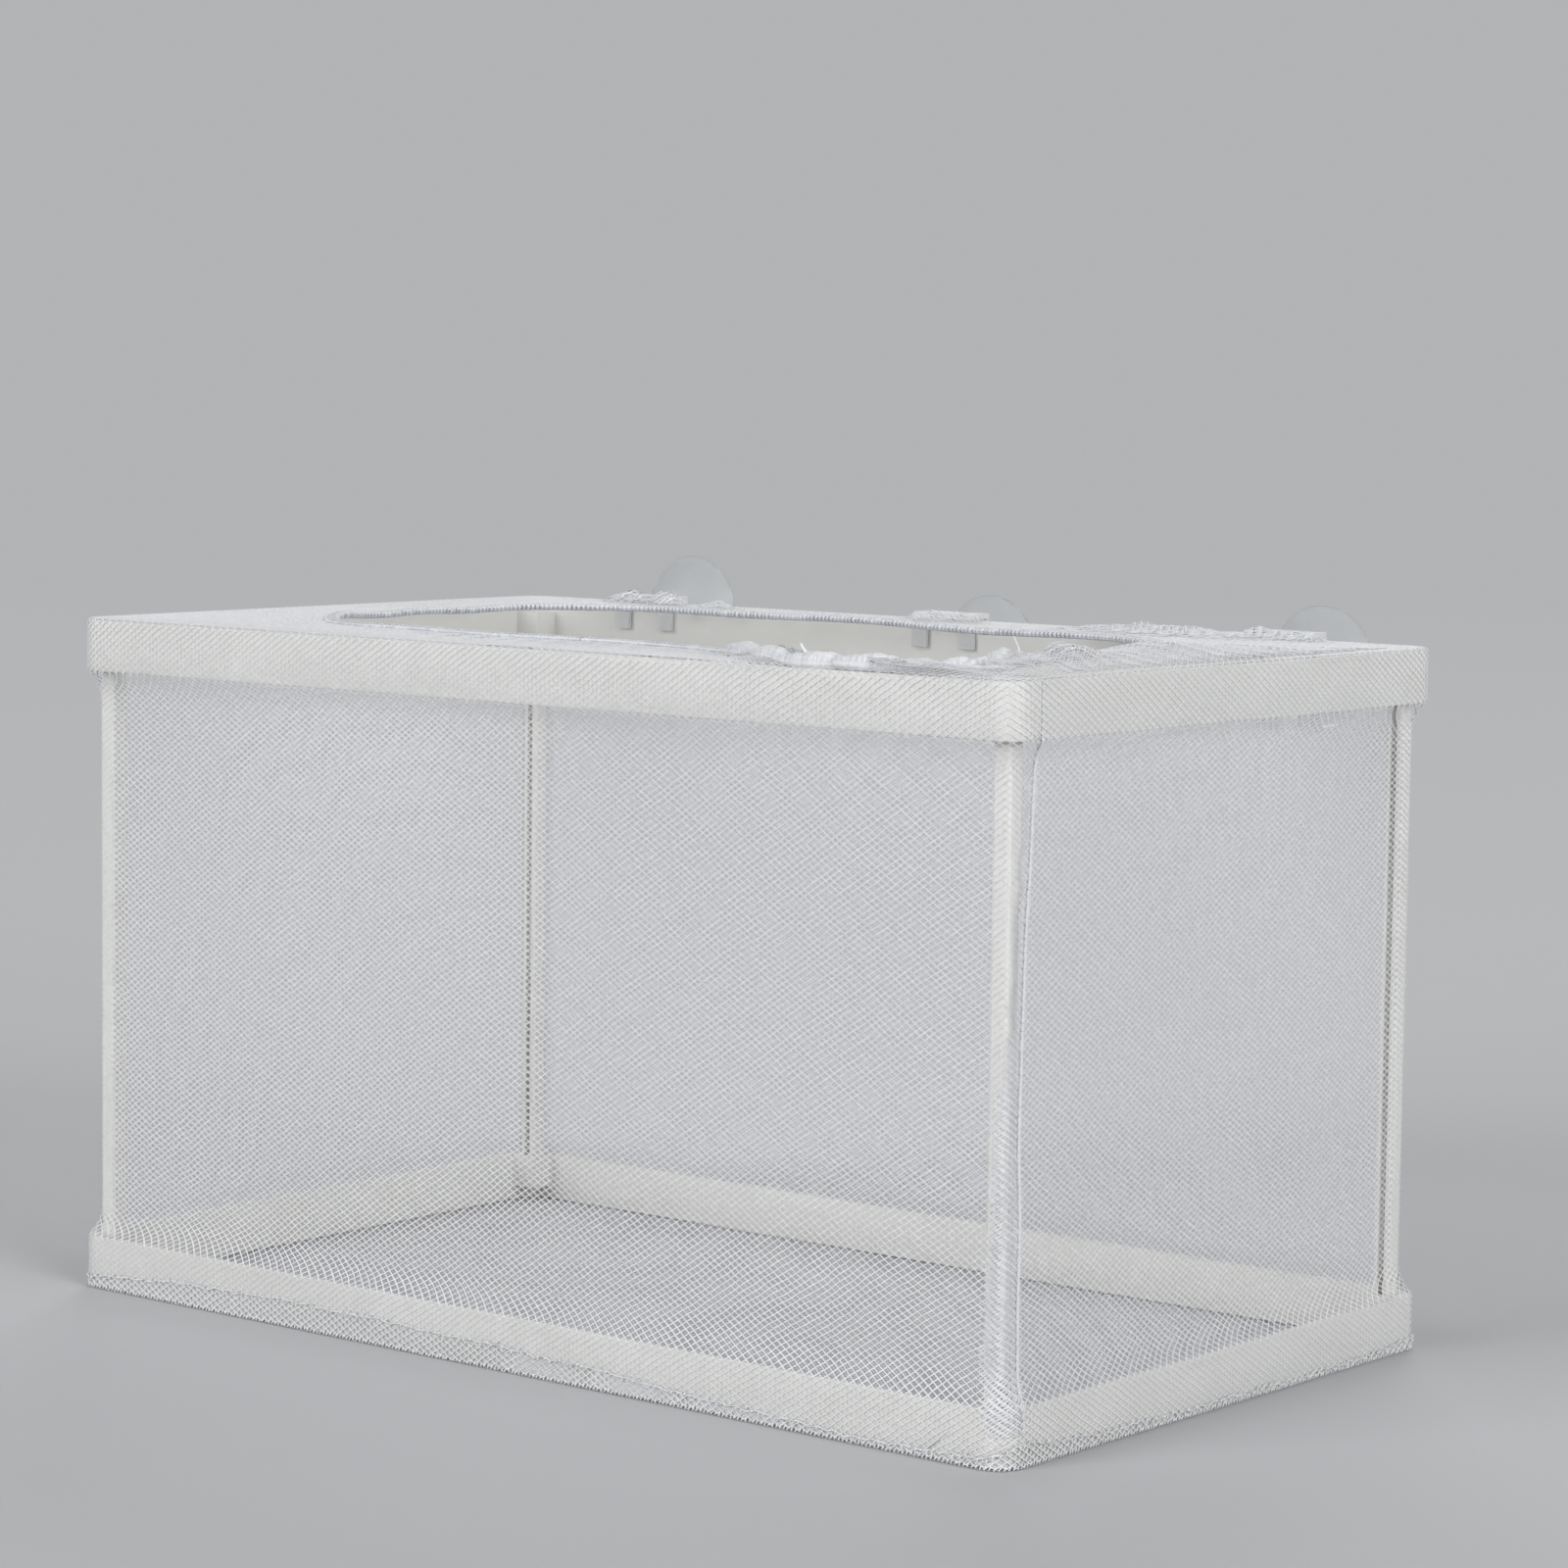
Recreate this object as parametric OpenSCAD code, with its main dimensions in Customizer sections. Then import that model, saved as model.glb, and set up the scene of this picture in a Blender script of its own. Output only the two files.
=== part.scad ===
// Fish breeding box: a socketed plastic frame in a net bag, hung by suction cups.
// Origin at the centre of the base, +X along the long side, +Y to the glass, +Z up.

/* [Frame] */
// Length over the rails, along X
frame_length = 250; // [200:1:300]
// Width over the rails, along Y
frame_width = 145; // [125:1:180]
// Height over both rails
frame_height = 145; // [100:1:180]
// Height of each rail ring
rail_height = 11; // [10:0.5:16]
// Thickness of the rails
rail_wall = 1.6; // [1.2:0.1:2.2]
// Outer radius of the rails' corners
rail_corner_radius = 5; // [4.5:0.5:8]

/* [Sockets and posts] */
// Thickness of a socket behind its post, inside the rails
socket_backing = 1.5; // [1:0.1:2]
// Thickness of a socket on the two sides that face the chamber
socket_wall = 0.75; // [0.6:0.05:1.5]
// Depth to which a post enters its socket
socket_depth = 7; // [5:0.5:8]
// Thickness of a socket's closed end
socket_end = 1; // [0.8:0.1:1.6]
// Side of a square post
post_size = 4.1; // [3.6:0.1:5.5]
// Thickness of a post behind its groove
post_web = 1.2; // [0.8:0.1:2]
// Width of a post's groove
post_groove = 1.4; // [0.8:0.1:2]
// Radius of a post's edges
post_edge_radius = 0.8; // [0.3:0.1:0.9]
// Clearance round a post in its socket
post_fit = 0.05; // [0.02:0.01:0.1]

/* [Net bag] */
// Thickness of the net
net_thickness = 0.3; // [0.2:0.05:0.5]
// Clearance between the net and what it covers
net_gap = 0.15; // [0.1:0.05:0.3]
// Height over which the net runs from a rail's edge in to the posts
net_lead = 6.5; // [4:0.5:12]
// Openings along each long side: a plain grid that stands for the fine mesh
net_columns = 12; // [8:2:12]
// Openings along each short wall
net_end_columns = 7; // [5:1:8]
// Openings up each wall
net_rows = 6; // [4:1:8]
// Width of the net between the openings
net_strand = 4.5; // [3:0.5:6]
// Width of a seam
seam_width = 1.6; // [1:0.1:3]
// Height by which a seam stands out from the net
seam_height = 0.5; // [0.3:0.1:1]
// Height of the floor seam above the lower rail's bottom edge
floor_seam_rise = 5; // [3:0.5:8]
// Distance of the side seam from the straight end of the right wall
side_seam_inset = 2.5; // [1.5:0.5:20]

/* [Mouth] */
// Distance from the rails' outer faces to the mouth at the box's ends
flap_end_width = 33; // [22:0.5:50]
// Distance from the rails' outer faces to the mouth at the front and back
flap_side_width = 24.5; // [16:0.5:36]
// Radius of the mouth's corners
mouth_corner_radius = 35; // [15:1:46]
// Outer diameter of the rolled hem
hem_diameter = 2.4; // [2:0.1:4]
// Thickness of the hem's fabric
hem_wall = 0.3; // [0.2:0.05:0.5]
// Diameter of the elastic in the hem
elastic_diameter = 1.2; // [0.6:0.1:1.6]

/* [Cup hooks] */
// Distance of the outer hooks' middles from the box's ends
hook_end_inset = 37; // [20:1:60]
// Width of a hook's plate
hook_width = 17; // [16.5:0.5:24]
// Length of a hook's plate below the lowest place of a neck
hook_tail = 9.2; // [4:0.2:16]
// Thickness of a hook
hook_thickness = 1.2; // [1:0.1:2]
// Width of each of a hook's two prongs
prong_width = 4; // [2.5:0.5:4.5]
// Length to which the prongs reach down inside the rail
prong_reach = 6; // [3:0.5:10]
// Clearance between the prongs and the net on the rail
prong_gap = 0.25; // [0.15:0.05:0.5]

/* [Suction cups] */
// Diameter of a cup's rim
cup_diameter = 26; // [20:0.5:36]
// Distance from a hook's plate to the cup's rim
cup_depth = 11.8; // [9:0.1:16]
// Thickness of a cup's rim
cup_rim = 0.8; // [0.5:0.1:1.2]
// Diameter of the hub behind the plate
hub_diameter = 10; // [8:0.5:12]
// Length of the hub
hub_length = 2.6; // [2:0.1:4]
// Diameter of the neck in the slot
neck_diameter = 4.6; // [3:0.1:5]
// Diameter of the button that holds the neck in the slot
button_diameter = 7.4; // [6.5:0.1:7.8]
// Thickness of the button
button_thickness = 1.2; // [0.8:0.1:1.6]
// Clearance of the neck, button and hub on the plate
cup_gap = 0.15; // [0.1:0.05:0.3]
// Drop of the highest place of a neck below the hook's top
neck_top_drop = 3.8; // [3.5:0.1:6]
// Travel of a neck down its slot
neck_travel = 8; // [6:0.5:12]
// Place of the left cup in its slot, down from the top
left_cup_drop = 0.4; // [0:0.1:4]
// Place of the middle cup in its slot, down from the top
middle_cup_drop = 6; // [2:0.1:8]
// Place of the right cup in its slot, down from the top
right_cup_drop = 4.4; // [2:0.1:6]

/* [Hidden] */
$fn = 64;

PLASTIC = "#ECEAE2";
NET = "#F4F4F6";
ELASTIC = "#FAFAFA";
CLEAR = "#D8DEE0";
PAST = 1;
SQRT2 = sqrt(2);
BELL_STEPS = 10;
OUTER_FLARE = 1.5;
INNER_FLARE = 2;

// Levels
frame_base = net_thickness + net_gap;
frame_top = frame_base + frame_height;
lower_edge = frame_base + rail_height;
upper_edge = frame_top - rail_height;
flap_base = frame_top + net_gap;
flap_top = flap_base + net_thickness;
hem_level = flap_base + net_thickness / 2;

// Posts and sockets, measured in from the rails' outer faces
post_inset = rail_wall + socket_backing + post_fit;
socket_inset = rail_wall + socket_backing + 2 * post_fit + post_size + socket_wall;
socket_height = socket_depth + socket_end;

// The net is drawn in until it lies round the posts' edges
edge_depth = SQRT2 * (post_inset + post_edge_radius) - post_edge_radius;
corner_depth = (SQRT2 - 1) * rail_corner_radius;
net_inset = min(edge_depth - corner_depth, post_inset) - net_gap;
net_outside = net_gap + net_thickness;
field_past_run = net_strand + rail_corner_radius - socket_inset;

// The hem lies inside the flap's edge
flap_edge = hem_diameter + net_gap;
mouth_length = frame_length - 2 * flap_end_width;
mouth_width = frame_width - 2 * flap_side_width;

// Hooks over the back top rail
prong_inner_y = frame_width / 2 - rail_wall - prong_gap - hook_thickness;
bridge_base = flap_top + prong_gap;
hook_top = bridge_base + hook_thickness;
button_y = frame_width / 2 + net_outside + prong_gap;
plate_y = button_y + button_thickness + cup_gap;
plate_back_y = plate_y + hook_thickness;
slot_width = neck_diameter + 2 * cup_gap;
neck_top = hook_top - neck_top_drop;
hook_foot = neck_top - neck_travel - hook_tail;
hook_spacing = frame_length / 2 - hook_end_inset;
prong_offset = (hook_width - prong_width) / 2;

function corner_signs() = [for (x = [-1, 1], y = [-1, 1]) [x, y]];

// A rectangle with round corners, centred
module rounded_rectangle(length, width, radius) {
    square([length - 2 * radius, width], center = true);
    square([length, width - 2 * radius], center = true);
    for (sign = corner_signs())
        translate([sign[0] * (length / 2 - radius), sign[1] * (width / 2 - radius)])
            circle(radius);
}

// The rails' outline, grown on every side
module box_outline(grow) {
    rounded_rectangle(frame_length + 2 * grow, frame_width + 2 * grow, rail_corner_radius + grow);
}

// The mouth's outline, grown on every side
module mouth_outline(grow) {
    rounded_rectangle(mouth_length + 2 * grow, mouth_width + 2 * grow, mouth_corner_radius + grow);
}

// Puts a child drawn at the front left corner at the corner with these signs
module at_corner(sign) {
    translate([sign[0] * frame_length / 2, sign[1] * frame_width / 2, 0])
        mirror([sign[0] > 0 ? 1 : 0, 0, 0])
            mirror([0, sign[1] > 0 ? 1 : 0, 0])
                children();
}

module square_edge(size, radius) {
    translate([size / 2, size / 2])
        rounded_rectangle(size, size, radius);
}

// A post's section, groove towards the chamber
module post_section() {
    difference() {
        square_edge(post_size, post_edge_radius);
        translate([(post_size - post_groove) / 2, post_web])
            square([post_groove, post_size]);
    }
}

// One rail ring with its four sockets open upwards
module frame_ring() {
    hole = post_size + 2 * post_fit;
    difference() {
        union() {
            linear_extrude(rail_height)
                difference() {
                    box_outline(0);
                    box_outline(-rail_wall);
                }
            translate([0, 0, rail_height - socket_height])
                linear_extrude(socket_height)
                    intersection() {
                        box_outline(0);
                        for (sign = corner_signs())
                            at_corner(sign)
                                square(socket_inset);
                    }
        }
        for (sign = corner_signs())
            at_corner(sign)
                translate([post_inset - post_fit, post_inset - post_fit, rail_height - socket_depth])
                    cube([hole, hole, socket_depth + PAST]);
    }
}

module lower_frame() {
    color(PLASTIC)
        translate([0, 0, frame_base])
            frame_ring();
}

module upper_frame() {
    color(PLASTIC)
        translate([0, 0, frame_top])
            mirror([0, 0, 1])
                frame_ring();
}

// A post stands on the lower socket's floor
module post(sign) {
    foot = lower_edge - socket_depth;
    head = upper_edge + socket_depth - post_fit;
    color(PLASTIC)
        at_corner(sign)
            translate([post_inset, post_inset, foot])
                linear_extrude(head - foot)
                    post_section();
}

// Section of a net wall from the floor up to the flap, as distance out from the rail's face and height
function net_path(out) = [
    [out, net_thickness],
    [out, lower_edge],
    [out - net_gap - net_inset, lower_edge + net_lead],
    [out - net_gap - net_inset, upper_edge - net_lead],
    [out, upper_edge],
    [out, flap_base]
];

function reversed(list) = [for (i = [len(list) - 1:-1:0]) list[i]];

// The band between two distances from the rail's face, seen from the centre of a corner's arc
module net_section(inner, outer) {
    translate([rail_corner_radius, 0])
        polygon(concat(net_path(inner), reversed(net_path(outer))));
}

// A plain grid of openings, centred in a field that has a strand's width of border
module net_openings(field, columns, rows) {
    pitch = [(field[0] - net_strand) / columns, (field[1] - net_strand) / rows];
    for (column = [1:columns], row = [1:rows])
        translate([(column - (columns + 1) / 2) * pitch[0], (row - (rows + 1) / 2) * pitch[1]])
            square([pitch[0] - net_strand, pitch[1] - net_strand], center = true);
}

// One side of the net and the corner that follows it: run is its straight length
// and reach is how far out the corner's centre is
module net_wall(run, reach, columns) {
    field = [run + 2 * field_past_run, upper_edge - lower_edge - 2 * net_lead];
    color(NET)
        translate([0, -reach, 0]) {
            difference() {
                rotate([90, 0, -90])
                    linear_extrude(run, center = true)
                        net_section(net_gap, net_outside);
                translate([0, 0, (lower_edge + upper_edge) / 2])
                    rotate([90, 0, 0])
                        linear_extrude(rail_corner_radius + PAST)
                            net_openings(field, columns, net_rows);
            }
            translate([run / 2, 0, 0])
                rotate([0, 0, -90])
                    rotate_extrude(angle = 90)
                        net_section(net_gap, net_outside);
        }
}

module net_front_wall() {
    net_wall(frame_length - 2 * rail_corner_radius, frame_width / 2 - rail_corner_radius, net_columns);
}

module net_back_wall() {
    rotate([0, 0, 180])
        net_front_wall();
}

module net_right_wall() {
    rotate([0, 0, 90])
        net_wall(frame_width - 2 * rail_corner_radius, frame_length / 2 - rail_corner_radius, net_end_columns);
}

module net_left_wall() {
    rotate([0, 0, 180])
        net_right_wall();
}

module net_floor() {
    field = [frame_length - 2 * socket_inset, frame_width - 2 * socket_inset];
    color(NET)
        linear_extrude(net_thickness)
            difference() {
                box_outline(net_outside);
                net_openings(field, net_columns, net_end_columns);
            }
}

// Net over the rails and in to the hem, with a hole at each prong
module net_top_flap() {
    color(NET)
        translate([0, 0, flap_base])
            linear_extrude(net_thickness)
                difference() {
                    box_outline(net_outside);
                    mouth_outline(flap_edge);
                    for (hook = [-1:1], side = [-1, 1])
                        translate([hook * hook_spacing + side * prong_offset, prong_inner_y - prong_gap])
                            translate([-prong_width / 2 - prong_gap, 0])
                                square([prong_width + 2 * prong_gap, hook_thickness + 2 * prong_gap]);
                }
}

// A round section carried along the middle of the hem
module along_mouth() {
    run = mouth_length - 2 * mouth_corner_radius;
    rise = mouth_width - 2 * mouth_corner_radius;
    radius = mouth_corner_radius + hem_diameter / 2;
    translate([0, 0, hem_level]) {
        for (side = [0, 180])
            rotate([0, 0, side]) {
                translate([0, rise / 2 + radius, 0])
                    rotate([90, 0, 90])
                        linear_extrude(run, center = true)
                            children();
                translate([run / 2 + radius, 0, 0])
                    rotate([90, 0, 0])
                        linear_extrude(rise, center = true)
                            children();
                translate([run / 2, rise / 2, 0])
                    rotate_extrude(angle = 90)
                        translate([radius, 0])
                            children();
                translate([run / 2, -rise / 2, 0])
                    rotate([0, 0, -90])
                        rotate_extrude(angle = 90)
                            translate([radius, 0])
                                children();
            }
    }
}

module mouth_hem() {
    color(NET)
        along_mouth()
            difference() {
                circle(d = hem_diameter);
                circle(d = hem_diameter - 2 * hem_wall);
            }
}

module mouth_elastic() {
    color(ELASTIC)
        along_mouth()
            circle(d = elastic_diameter);
}

// A ridge down the right wall beside the front right post
module side_seam() {
    run = frame_width / 2 - rail_corner_radius - side_seam_inset;
    color(NET)
        translate([frame_length / 2 - rail_corner_radius, -run, 0])
            rotate([90, 0, 0])
                linear_extrude(seam_width, center = true)
                    intersection() {
                        net_section(net_outside, net_outside + seam_height);
                        translate([0, frame_base + floor_seam_rise + seam_width])
                            square([2 * frame_length, flap_base - frame_base - floor_seam_rise - seam_width]);
                    }
}

// A ridge round the lower rail, where the walls join the floor panel
module floor_seam() {
    color(NET)
        translate([0, 0, frame_base + floor_seam_rise])
            linear_extrude(seam_width)
                difference() {
                    box_outline(net_outside + seam_height);
                    box_outline(net_outside);
                }
}

// Side view of a prong, over the rail and down inside it, as distance along Y and height
module prong_section() {
    difference() {
        translate([prong_inner_y, frame_top - prong_reach])
            square([plate_back_y - prong_inner_y, hook_top - frame_top + prong_reach]);
        translate([prong_inner_y + hook_thickness, frame_top - prong_reach - PAST])
            square([plate_y - prong_inner_y - hook_thickness, bridge_base - frame_top + prong_reach + PAST]);
        translate([prong_inner_y, hook_top])
            corner_cut(hook_thickness);
    }
}

// What rounding takes off a corner that points up and to the left
module corner_cut(radius) {
    difference() {
        translate([-PAST, -radius])
            square([radius + PAST, radius + PAST]);
        translate([radius, -radius])
            circle(radius);
    }
}

// Plate behind the rail, with a slot that is open at its lower end
module plate_outline() {
    difference() {
        translate([0, (hook_top + hook_foot) / 2])
            rounded_rectangle(hook_width, hook_top - hook_foot, hook_thickness);
        translate([0, neck_top])
            circle(d = slot_width);
        translate([-slot_width / 2, hook_foot - PAST])
            square([slot_width, neck_top - hook_foot + PAST]);
    }
}

module cup_hook(place) {
    color(CLEAR, 0.6)
        translate([place * hook_spacing, 0, 0]) {
            translate([0, plate_back_y, 0])
                rotate([90, 0, 0])
                    linear_extrude(hook_thickness)
                        plate_outline();
            for (side = [-1, 1])
                translate([side * prong_offset, 0, 0])
                    rotate([90, 0, 90])
                        linear_extrude(prong_width, center = true)
                            prong_section();
        }
}

// A point of the bell's curve, which flares from its start to the rim
function bell_point(step, start, end, flare) =
    let (part = step / BELL_STEPS)
    [start[0] + (end[0] - start[0]) * part, start[1] + (end[1] - start[1]) * pow(part, flare)];

// Half section of a cup, as radius and distance out from the plate
module cup_section() {
    rim = cup_diameter / 2;
    hub = hub_diameter / 2;
    neck = neck_diameter / 2;
    button = button_diameter / 2;
    shoulder = cup_gap + hub_length;
    button_front = -hook_thickness - cup_gap;
    hollow = shoulder + 2 * cup_rim;
    polygon(concat(
        [
            [0, button_front - button_thickness],
            [button, button_front - button_thickness],
            [button, button_front],
            [neck, button_front],
            [neck, cup_gap],
            [hub, cup_gap],
            [hub, shoulder]
        ],
        [for (step = [1:BELL_STEPS]) bell_point(step, [hub, shoulder], [rim, cup_depth], OUTER_FLARE)],
        [for (step = [BELL_STEPS:-1:0]) bell_point(step, [0, hollow], [rim - cup_rim, cup_depth], INNER_FLARE)]
    ));
}

module suction_cup(place, drop) {
    color(CLEAR, 0.6)
        translate([place * hook_spacing, plate_back_y, neck_top - drop])
            rotate([-90, 0, 0])
                rotate_extrude()
                    cup_section();
}

lower_frame();
upper_frame();
post([-1, -1]);  // post_front_left
post([1, -1]);  // post_front_right
post([-1, 1]);  // post_back_left
post([1, 1]);  // post_back_right
net_front_wall();
net_back_wall();
net_left_wall();
net_right_wall();
net_floor();
net_top_flap();
mouth_hem();
mouth_elastic();
side_seam();
floor_seam();
cup_hook(-1);  // cup_hook_left
cup_hook(0);  // cup_hook_middle
cup_hook(1);  // cup_hook_right
suction_cup(-1, left_cup_drop);  // suction_cup_left
suction_cup(0, middle_cup_drop);  // suction_cup_middle
suction_cup(1, right_cup_drop);  // suction_cup_right
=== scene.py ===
"""Fish breeding box: a socketed plastic frame in a fine net bag, with hooks and suction cups.
"""

import logging
import math
from dataclasses import dataclass, field
from enum import Enum, IntEnum
from typing import Callable, Protocol

import bpy
import numpy as np
from mathutils import Matrix, Vector


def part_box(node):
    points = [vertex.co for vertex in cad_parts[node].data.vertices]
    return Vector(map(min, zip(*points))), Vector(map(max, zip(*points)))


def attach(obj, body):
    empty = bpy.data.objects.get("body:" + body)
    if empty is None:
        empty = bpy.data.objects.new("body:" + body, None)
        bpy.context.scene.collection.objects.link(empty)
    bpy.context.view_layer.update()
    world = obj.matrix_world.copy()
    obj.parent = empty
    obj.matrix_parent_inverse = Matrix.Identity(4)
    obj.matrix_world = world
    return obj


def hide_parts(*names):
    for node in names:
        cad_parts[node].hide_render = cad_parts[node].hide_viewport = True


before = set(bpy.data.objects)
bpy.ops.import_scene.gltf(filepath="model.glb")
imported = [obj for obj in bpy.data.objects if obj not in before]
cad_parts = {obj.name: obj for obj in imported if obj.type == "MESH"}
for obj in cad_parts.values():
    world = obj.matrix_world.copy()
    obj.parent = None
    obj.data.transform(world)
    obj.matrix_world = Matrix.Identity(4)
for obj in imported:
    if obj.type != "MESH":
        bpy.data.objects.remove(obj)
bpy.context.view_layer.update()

LOG = logging.getLogger("breeding_box")
MM = 0.001
BOX = "box"
CUP_PLACES = ("left", "middle", "right")

Piece = bpy.types.Object
Material = bpy.types.Material
Socket = bpy.types.NodeSocket
Values = np.ndarray
Points = np.ndarray
Bounds = tuple[float, float, float, float]
Colour = tuple[float, float, float]
Carry = Callable[[Values, Values], Points]
Table = tuple[tuple[float, float], ...]


class Seed(IntEnum):
    """Where each run of random numbers starts, so that the box comes out the same each time."""

    MOUTH_PULL = 11
    MOUTH_LEVEL = 12
    MOUTH_BUNCH_LEVEL = 13
    MOUTH_BUNCH = 14
    LEAD = 21
    SLACK = 22
    GATHERS = 31
    FINE_GATHERS = 32
    SAG = 33
    BUNCH = 34
    CRUMPLE = 35
    LAYER_RIPPLE = 37
    DRIFT_ALONG = 41
    JITTER_ALONG = 42
    DRIFT_UP = 43
    JITTER_UP = 44
    FLOOR_SAG = 51
    STITCHES = 61
    HEM_CREASES = 71
    HEM_LUMPS = 72
    HEM_FOLDS = 73
    SIDE_SEAM = 81
    SIDE_SEAM_SWELL = 82
    FLOOR_SEAM = 91
    FLOOR_SEAM_SWELL = 92
    FLOOR_SEAM_SWAY = 94
    FLOOR_STITCH_SWAY = 95
    FOLD_EDGE = 96
    GATHER_EDGE = 97


# ---------------------------------------------------------------- sizes


def node_box(name: str) -> tuple[Vector, Vector]:
    """Returns a CAD node's lowest and highest corners, in millimetres."""
    low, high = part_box(name)
    return low / MM, high / MM


@dataclass(frozen=True)
class BoxSizes:
    """The box's leading sizes, as its CAD nodes have them."""

    half_length: float
    half_width: float
    lower_edge: float
    upper_edge: float
    frame_top: float
    post_face_x: float
    post_face_y: float
    corner_radius: float = 5.0
    post_edge_radius: float = 0.8
    hem_corner_radius: float = 36.2
    net_middle: float = 0.3

    @classmethod
    def from_frame(cls) -> "BoxSizes":
        """Reads the sizes from the loaded frame.

        Returns:
            The sizes.
        """
        low_rail = node_box("lower_frame")
        high_rail = node_box("upper_frame")
        post = node_box("post_front_right")
        return cls(
            half_length=low_rail[1].x,
            half_width=low_rail[1].y,
            lower_edge=low_rail[1].z,
            upper_edge=high_rail[0].z,
            frame_top=high_rail[1].z,
            post_face_x=post[1].x,
            post_face_y=-post[0].y,
        )


# ---------------------------------------------------------------- modelling helpers


def only(obj: Piece) -> Piece:
    """Makes an object the only selected one and the active one.

    Args:
        obj: the object.

    Returns:
        The same object.
    """
    bpy.ops.object.select_all(action="DESELECT")
    obj.select_set(True)
    bpy.context.view_layer.objects.active = obj
    return obj


def name_active(name: str) -> Piece:
    """Names the active object and its data.

    Args:
        name: the new name.

    Returns:
        The active object.
    """
    obj = bpy.context.active_object
    obj.name = obj.data.name = name
    return obj


def settle(obj: Piece) -> None:
    """Moves an object's place, turn and scale into its mesh."""
    only(obj)
    bpy.ops.object.transform_apply(location=True, rotation=True, scale=True)


def read_points(obj: Piece) -> Points:
    """Reads a mesh's vertices.

    Args:
        obj: the mesh object.

    Returns:
        Rows of x, y, z.
    """
    flat = np.zeros(len(obj.data.vertices) * 3)
    obj.data.vertices.foreach_get("co", flat)
    return flat.reshape(-1, 3) / MM


def choose(obj: Piece, kind: str, chosen: Values | None = None) -> None:
    """Selects some of a mesh's vertices, edges or faces, and enters edit mode.

    Args:
        obj: the mesh object, in object mode.
        kind: VERT, EDGE or FACE.
        chosen: a mask with one entry for each, or nothing for all of them.
    """
    only(obj)
    bpy.ops.object.mode_set(mode="EDIT")
    bpy.ops.mesh.select_mode(type=kind)
    bpy.ops.mesh.select_all(action="SELECT" if chosen is None else "DESELECT")
    if chosen is not None:
        bpy.ops.object.mode_set(mode="OBJECT")
        parts = {"VERT": obj.data.vertices, "EDGE": obj.data.edges, "FACE": obj.data.polygons}[kind]
        parts.foreach_set("select", np.asarray(chosen, dtype=bool))
        bpy.ops.object.mode_set(mode="EDIT")


def leave_edit() -> None:
    """Goes back to object mode."""
    bpy.ops.object.mode_set(mode="OBJECT")


def smooth(obj: Piece, degrees: float) -> Piece:
    """Shades an object smooth except across sharper edges.

    Args:
        obj: the mesh object.
        degrees: the sharpest edge that is shaded smooth.

    Returns:
        The same object.
    """
    only(obj)
    bpy.ops.object.shade_smooth_by_angle(angle=math.radians(degrees))
    return obj


def join(name: str, pieces: list[Piece]) -> Piece:
    """Joins pieces into the first one.

    Args:
        name: the new name.
        pieces: what is joined.

    Returns:
        The joined piece.
    """
    only(pieces[0])
    for piece in pieces:
        piece.select_set(True)
    bpy.ops.object.join()
    return name_active(name)


def link(name: str, data: bpy.types.ID) -> Piece:
    """Puts a new object with the given mesh, camera or lamp into the scene.

    Args:
        name: the object's name.
        data: what it holds.

    Returns:
        The object.
    """
    obj = bpy.data.objects.new(name, data)
    bpy.context.scene.collection.objects.link(obj)
    return obj


def mesh_object(name: str, points: Points, faces: Values) -> Piece:
    """Makes a mesh object from rows of points and faces of one size.

    Args:
        name: the piece's name.
        points: rows of x, y, z.
        faces: rows of vertex numbers.

    Returns:
        The new object, shaded smooth.
    """
    mesh = bpy.data.meshes.new(name)
    corners = faces.shape[1]
    mesh.vertices.add(len(points))
    mesh.vertices.foreach_set("co", np.ascontiguousarray(points * MM).ravel())
    mesh.loops.add(faces.size)
    mesh.loops.foreach_set("vertex_index", np.ascontiguousarray(faces, dtype=np.int32).ravel())
    mesh.polygons.add(len(faces))
    mesh.polygons.foreach_set("loop_start", np.arange(len(faces), dtype=np.int32) * corners)
    mesh.update(calc_edges=True)
    mesh.validate()
    mesh.polygons.foreach_set("use_smooth", np.ones(len(mesh.polygons), dtype=bool))
    return link(name, mesh)


def set_uv(obj: Piece, values: Points) -> None:
    """Gives a mesh a UV map.

    Args:
        obj: the mesh object.
        values: one u, v pair for each vertex.
    """
    layer = obj.data.uv_layers.new(name="cloth")
    corners = np.zeros(len(obj.data.loops), dtype=np.int32)
    obj.data.loops.foreach_get("vertex_index", corners)
    layer.uv.foreach_set("vector", np.ascontiguousarray(values[corners]).ravel())


def set_amount(obj: Piece, name: str, values: Values) -> None:
    """Gives a mesh a float attribute with one value for each vertex."""
    layer = obj.data.attributes.new(name, "FLOAT", "POINT")
    layer.data.foreach_set("value", np.ascontiguousarray(values, dtype=np.float32))


def mesh_area(points: Points, faces: Values) -> float:
    """Returns the area of quads in square millimetres."""
    a, b, c, d = (points[faces[:, i]] for i in range(4))
    return float(np.linalg.norm(np.cross(c - a, d - b), axis=1).sum() / 2)


def unit(rows: Points) -> Points:
    """Returns each row brought to a length of 1."""
    return rows / np.maximum(np.linalg.norm(rows, axis=1), 1e-9)[:, None]


def run_lengths(path: Points) -> Values:
    """Returns the length from a line's start to each of its points."""
    return np.concatenate([[0], np.cumsum(np.linalg.norm(np.diff(path, axis=0), axis=1))])


def follow(table: Table, places: Values) -> Values:
    """Reads values from a table of places and values, with straight lines between its rows."""
    return np.interp(places, *zip(*table))


def ease(part: Values) -> Values:
    """Turns 0 to 1 into a smooth step."""
    part = np.clip(part, 0, 1)
    return part * part * (3 - 2 * part)


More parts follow.
